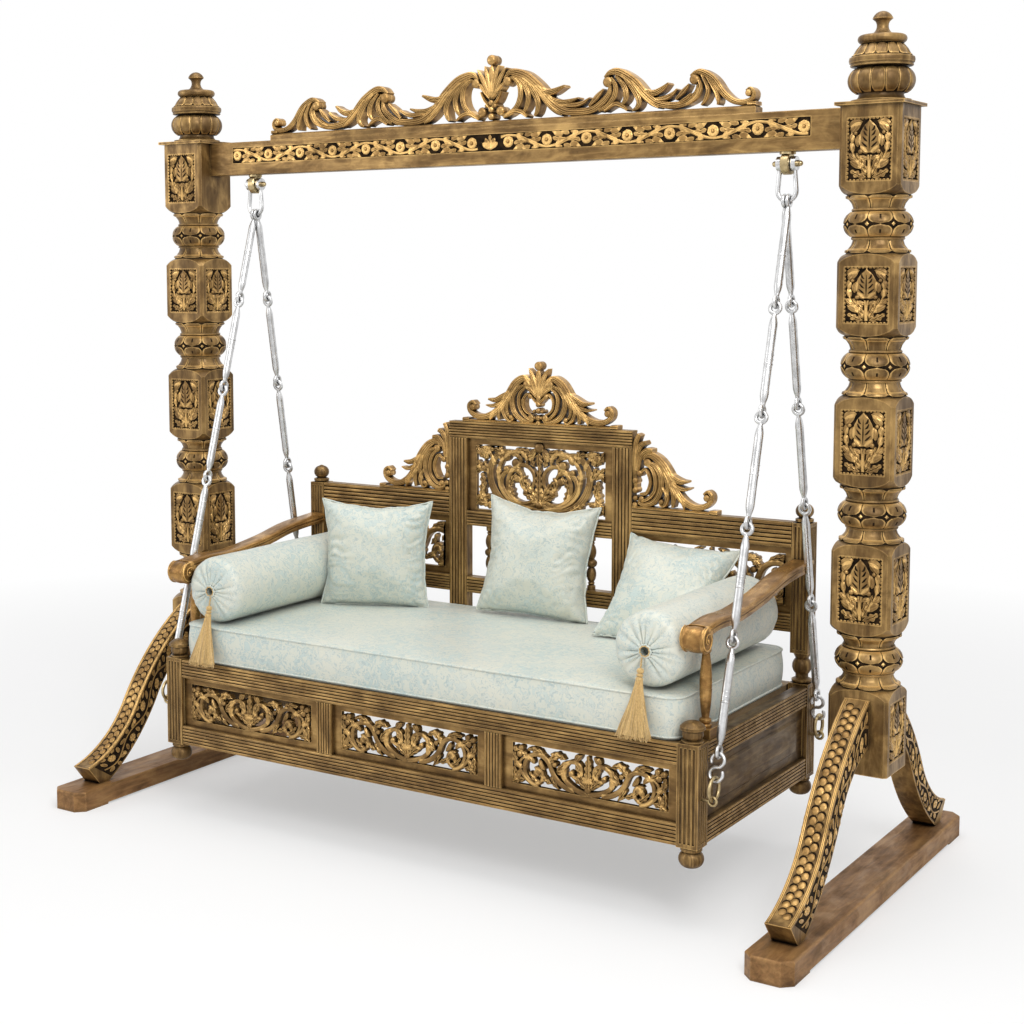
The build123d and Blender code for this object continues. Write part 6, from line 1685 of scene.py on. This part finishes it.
# ------------------------------------------------------------------ tassels
TASSEL_LEAN = 13.5
TASSEL_LENGTH = 196.0
TASSEL_THREADS = 300
TASSEL_BEAD = [(2.0, -24.0), (6.0, -25.5), (8.6, -29.0), (9.0, -33.0), (7.4, -36.5), (5.4, -38.0),
               (7.8, -39.5), (8.8, -42.0), (7.6, -44.6), (5.6, -46.0), (8.6, -48.0), (9.6, -51.5),
               (8.8, -55.0), (6.6, -57.0), (5.0, -60.0)]
TASSEL_CORE = [(5.0, -56.0), (8.0, -70.0), (10.5, -110.0), (12.5, -150.0), (13.5, -186.0)]


def drawstring(sign):
    """One of the two cords twisted together above the bead."""
    line = []
    for k in range(14):
        t = k / 13
        a = 3.2 * math.pi * t + (math.pi if sign > 0 else 0.0)
        line.append((1.5 * math.cos(a), 1.5 * math.sin(a) - 0.6, -27.0 * t))
    return tube(line, 1.25, 6)


def skirt_thread(k, rng):
    """One thread of the skirt."""
    a = 2 * math.pi * (k * 0.618034 % 1.0)
    depth = math.sqrt(rng.uniform(0.3, 1.0))
    flare = rng.uniform(0.82, 1.08)
    end = -TASSEL_LENGTH + rng.uniform(-1.0, 12.0)
    line = []
    for j in range(10):
        t = j / 9
        wide = depth * (8.0 + 38.0 * flare * t ** 1.3) + 1.3 * t * math.sin(8 * t + k)
        deep = depth * (7.4 + 9.0 * flare * t ** 0.8)
        line.append((wide * math.cos(a), deep * math.sin(a), -54.0 + (end + 54.0) * t))
    return tube(line, [1.1] * 9 + [0.7], 4)


def tassel(side, name):
    """Two-strand drawstring, bead of stacked rings, and a skirt of threads."""
    pivot = Vector(joints[name + "_hang"]["pos_m"]) / MM
    rng = random.Random(17 + side)
    place = Matrix.Translation(pivot) @ Matrix.Rotation(math.radians(-TASSEL_LEAN), 4, "X")
    shell = Shells()
    for sign in SIDES:
        shell.add(*drawstring(sign), place)
    shell.add(*lathe(TASSEL_BEAD, 28, lambda a, k: 0.35 * math.cos(14 * a)), place)
    verts, faces = lathe(TASSEL_CORE, 20, lambda a, k: 0.9 * math.cos(10 * a))
    verts[..., 0] *= 1 + 1.9 * np.clip((-56.0 - verts[..., 2]) / 130, 0, 1)
    shell.add(verts, faces, place)
    for k in range(TASSEL_THREADS):
        shell.add(*skirt_thread(k, rng), place)
    obj = shell.make(name + "_threads", tassel_thread, name, 60)
    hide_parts(name)


for side, name in zip(SIDES, ("tassel_left", "tassel_right")):
    tassel(side, name)

# cord gathered round the hole at the near end of each bolster
ties = Shells()
for side in SIDES:
    ties.add(*tube(gathered_ring(side, BOLSTER_LOW.y - 0.5, 12.5, 0.8, 60), 1.6, 6, closed=True))
ties.make("bolster_ties", tassel_thread, "swing", 60)

# ------------------------------------------------------------------ arms
ARM_X = 804.0
ARM_W = 56.0
ARM_THICK = 26.0
SCROLL_R = 31.0
ARM_LINE = [(237.0, 788.0), (81.0, 775.0), (-47.0, 751.0), (-200.0, 732.0), (-317.0, 734.0), (-401.0, 726.0)]
HALF_DRUM = [(8.0, 29.5), (24.0, 29.5), (29.5, 28.5), (31.8, 25.5), (31.8, 22.5), (30.0, 21.0),
             (29.6, 19.0), (31.2, 10.0)]   # (radius, distance from the scroll's middle)
DRUM = [(r, -x) for r, x in HALF_DRUM] + [(31.8, 0.0)] + HALF_DRUM[::-1]
arms = Shells()


def arm_section(half, thick):
    """Rounded top, ridged sides and flat underside, as (across, down) points."""
    sides = [(half - 3.5, thick), (half - 1.0, thick - 3.5), (half - 1.0, 15.5), (half - 3.2, 13.5),
             (half - 3.2, 11.0)]
    top = []
    for a in np.linspace(0, 180, 15):
        c, q = math.cos(math.radians(a)), math.sin(math.radians(a))
        top.append((half * math.copysign(abs(c) ** 0.55, c), -3.0 * q ** 0.7 + 9.0 * (1 - q ** 0.5)))
    return sides + top + [(-u, v) for u, v in sides[::-1]]


def arm_rest(x):
    """Curved rest."""
    line = spline(ARM_LINE, 12)
    section = arm_section(ARM_W / 2, ARM_THICK)
    rows = []
    for (y, z), (dy, dz) in zip(line, unit(np.gradient(line, axis=0))):
        rows.append([(x + u, y - v * dz, z - v * abs(dy)) for u, v in section])
    return rows, roll_faces(len(rows), len(section))


def arm_scroll(x, y, z):
    """Turned drum at the front end of a rest, with a raised spiral and a boss on each end."""
    turn = Matrix.Rotation(math.radians(90), 4, "Y")
    turn.translation = Vector((x, y, z))
    arms.add(*lathe(DRUM, 48), turn)
    for face in SIDES:
        spiral = []
        for t in (k / 63 for k in range(64)):
            a = math.radians(90 + 620 * t)
            r = 26.5 * (1 - t) + 4.0
            spiral.append((x + face * 29.6, y + r * math.cos(a), z + r * math.sin(a)))
        arms.add(*tube(spiral, 1.9, 6))
        arms.add(*ball(5.0, (x + face * 28.5, y, z)))


for side in SIDES:
    arms.add(*arm_rest(side * ARM_X))
    arm_scroll(side * ARM_X, ARM_LINE[-1][0] - 4.0, ARM_LINE[-1][1] - SCROLL_R)
arm_cover = arms.make("arm_rests", arm_gilt, "swing", 40)
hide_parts("arm_left", "arm_right")

# ------------------------------------------------------------------ camera, light and floor
CAMERA = Vector((2.47735, -4.04485, 1.57705))
YAW, PITCH, ROLL = (math.radians(a) for a in (34.72, -5.66, -0.29))
LAMPS = {                  # place, target, size and power of each soft lamp
    "key_light": ((3.4, -3.6, 4.4), (0.0, 0.0, 0.9), 2.2, 145.0),
    "top_light": ((0.3, -0.4, 4.8), (0.0, 0.0, 0.0), 3.6, 100.0),
    "side_light": ((-4.2, -3.4, 2.2), (0.0, 0.0, 1.0), 2.6, 45.0),
}
WORLD_LIGHT = 0.55
FLOOR_HALF = 9.0


def add_camera():
    """Camera at the photograph's place and angle."""
    ahead = Vector((-math.sin(YAW) * math.cos(PITCH), math.cos(YAW) * math.cos(PITCH), math.sin(PITCH)))
    right = ahead.cross(Vector((0, 0, 1))).normalized()
    up = right.cross(ahead)
    right, up = (right * math.cos(ROLL) + up * math.sin(ROLL), up * math.cos(ROLL) - right * math.sin(ROLL))
    camera = linked("camera", bpy.data.cameras.new("camera"))
    turn = Matrix((right, up, -ahead)).transposed().to_4x4()
    turn.translation = CAMERA
    camera.matrix_world = turn
    camera.data.sensor_width = 36.0
    camera.data.lens = 60.13
    camera.data.shift_x = 0.1112
    camera.data.shift_y = -0.0774
    camera.data.clip_end = 60.0
    bpy.context.scene.camera = camera


def area_light(name, spot, target, size, power):
    """Soft square lamp."""
    data = bpy.data.lights.new(name, "AREA")
    data.shape = "SQUARE"
    data.size = size
    data.energy = power
    lamp = linked(name, data)
    lamp.location = spot
    lamp.rotation_mode = "QUATERNION"
    lamp.rotation_quaternion = (Vector(target) - Vector(spot)).to_track_quat("-Z", "Y")


def studio_world():
    """Plain soft light on the object, seen as white by the camera, in metal and through glass."""
    world = bpy.data.worlds.new("studio")
    bpy.context.scene.world = world
    world.use_nodes = True
    tree = world.node_tree
    tree.nodes.clear()
    rays = add_node(tree, "ShaderNodeLightPath").outputs
    seen = rays["Is Camera Ray"]
    for kind in ("Is Transmission Ray", "Is Glossy Ray"):
        seen = add_node(tree, "ShaderNodeMath", {0: seen, 1: rays[kind]}, operation="MAXIMUM").outputs[0]
    white = add_node(tree, "ShaderNodeBackground", {"Color": (1, 1, 1, 1), "Strength": 1.0})
    light = add_node(tree, "ShaderNodeBackground", {"Strength": WORLD_LIGHT})
    blend = add_node(tree, "ShaderNodeMixShader", {0: seen, 1: light.outputs[0], 2: white.outputs[0]})
    add_node(tree, "ShaderNodeOutputWorld", {"Surface": blend.outputs[0]})


def add_floor():
    """Pale floor that fades into the white background away from the object."""
    mesh = bpy.data.meshes.new("floor")
    corners = [(x * FLOOR_HALF, y * FLOOR_HALF, 0) for x, y in ((-1, -1), (1, -1), (1, 1), (-1, 1))]
    mesh.from_pydata(corners, [], [(0, 1, 2, 3)])
    linked("floor", mesh)
    f = Nodes("floor")
    away = f.node("ShaderNodeVectorMath", {0: f.where}, operation="LENGTH").outputs["Value"]
    fade = f.ramp(f.maths("DIVIDE", away, 6.0), [(0.30, 0.42), (0.72, 1.0)])
    glow = f.node("ShaderNodeEmission", {"Color": (1, 1, 1, 1), "Strength": 1.0})
    f.finish((0.93, 0.93, 0.93), 0.8)
    share = f.maths("MULTIPLY", fade, f.node("ShaderNodeLightPath").outputs["Is Camera Ray"])
    over = f.node("ShaderNodeMixShader", {0: share, 1: f.shader.outputs[0], 2: glow.outputs[0]})
    f.tree.links.new(over.outputs[0], f.tree.nodes["Material Output"].inputs["Surface"])
    mesh.materials.append(f.material)


add_camera()
for name, values in LAMPS.items():
    area_light(name, *values)
studio_world()
add_floor()
bpy.context.scene.view_settings.view_transform = "Standard"

# ------------------------------------------------------------------ soft pieces: the parts they stand for are hidden
for pieces, slot, fill in (({"mattress": mattress}, "mattress_cover", 0.9),
                           (bolsters, "bolster_cover", 0.95), (cushions, "cushion_cover", 0.7)):
    for node, piece in pieces.items():
        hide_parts(node)
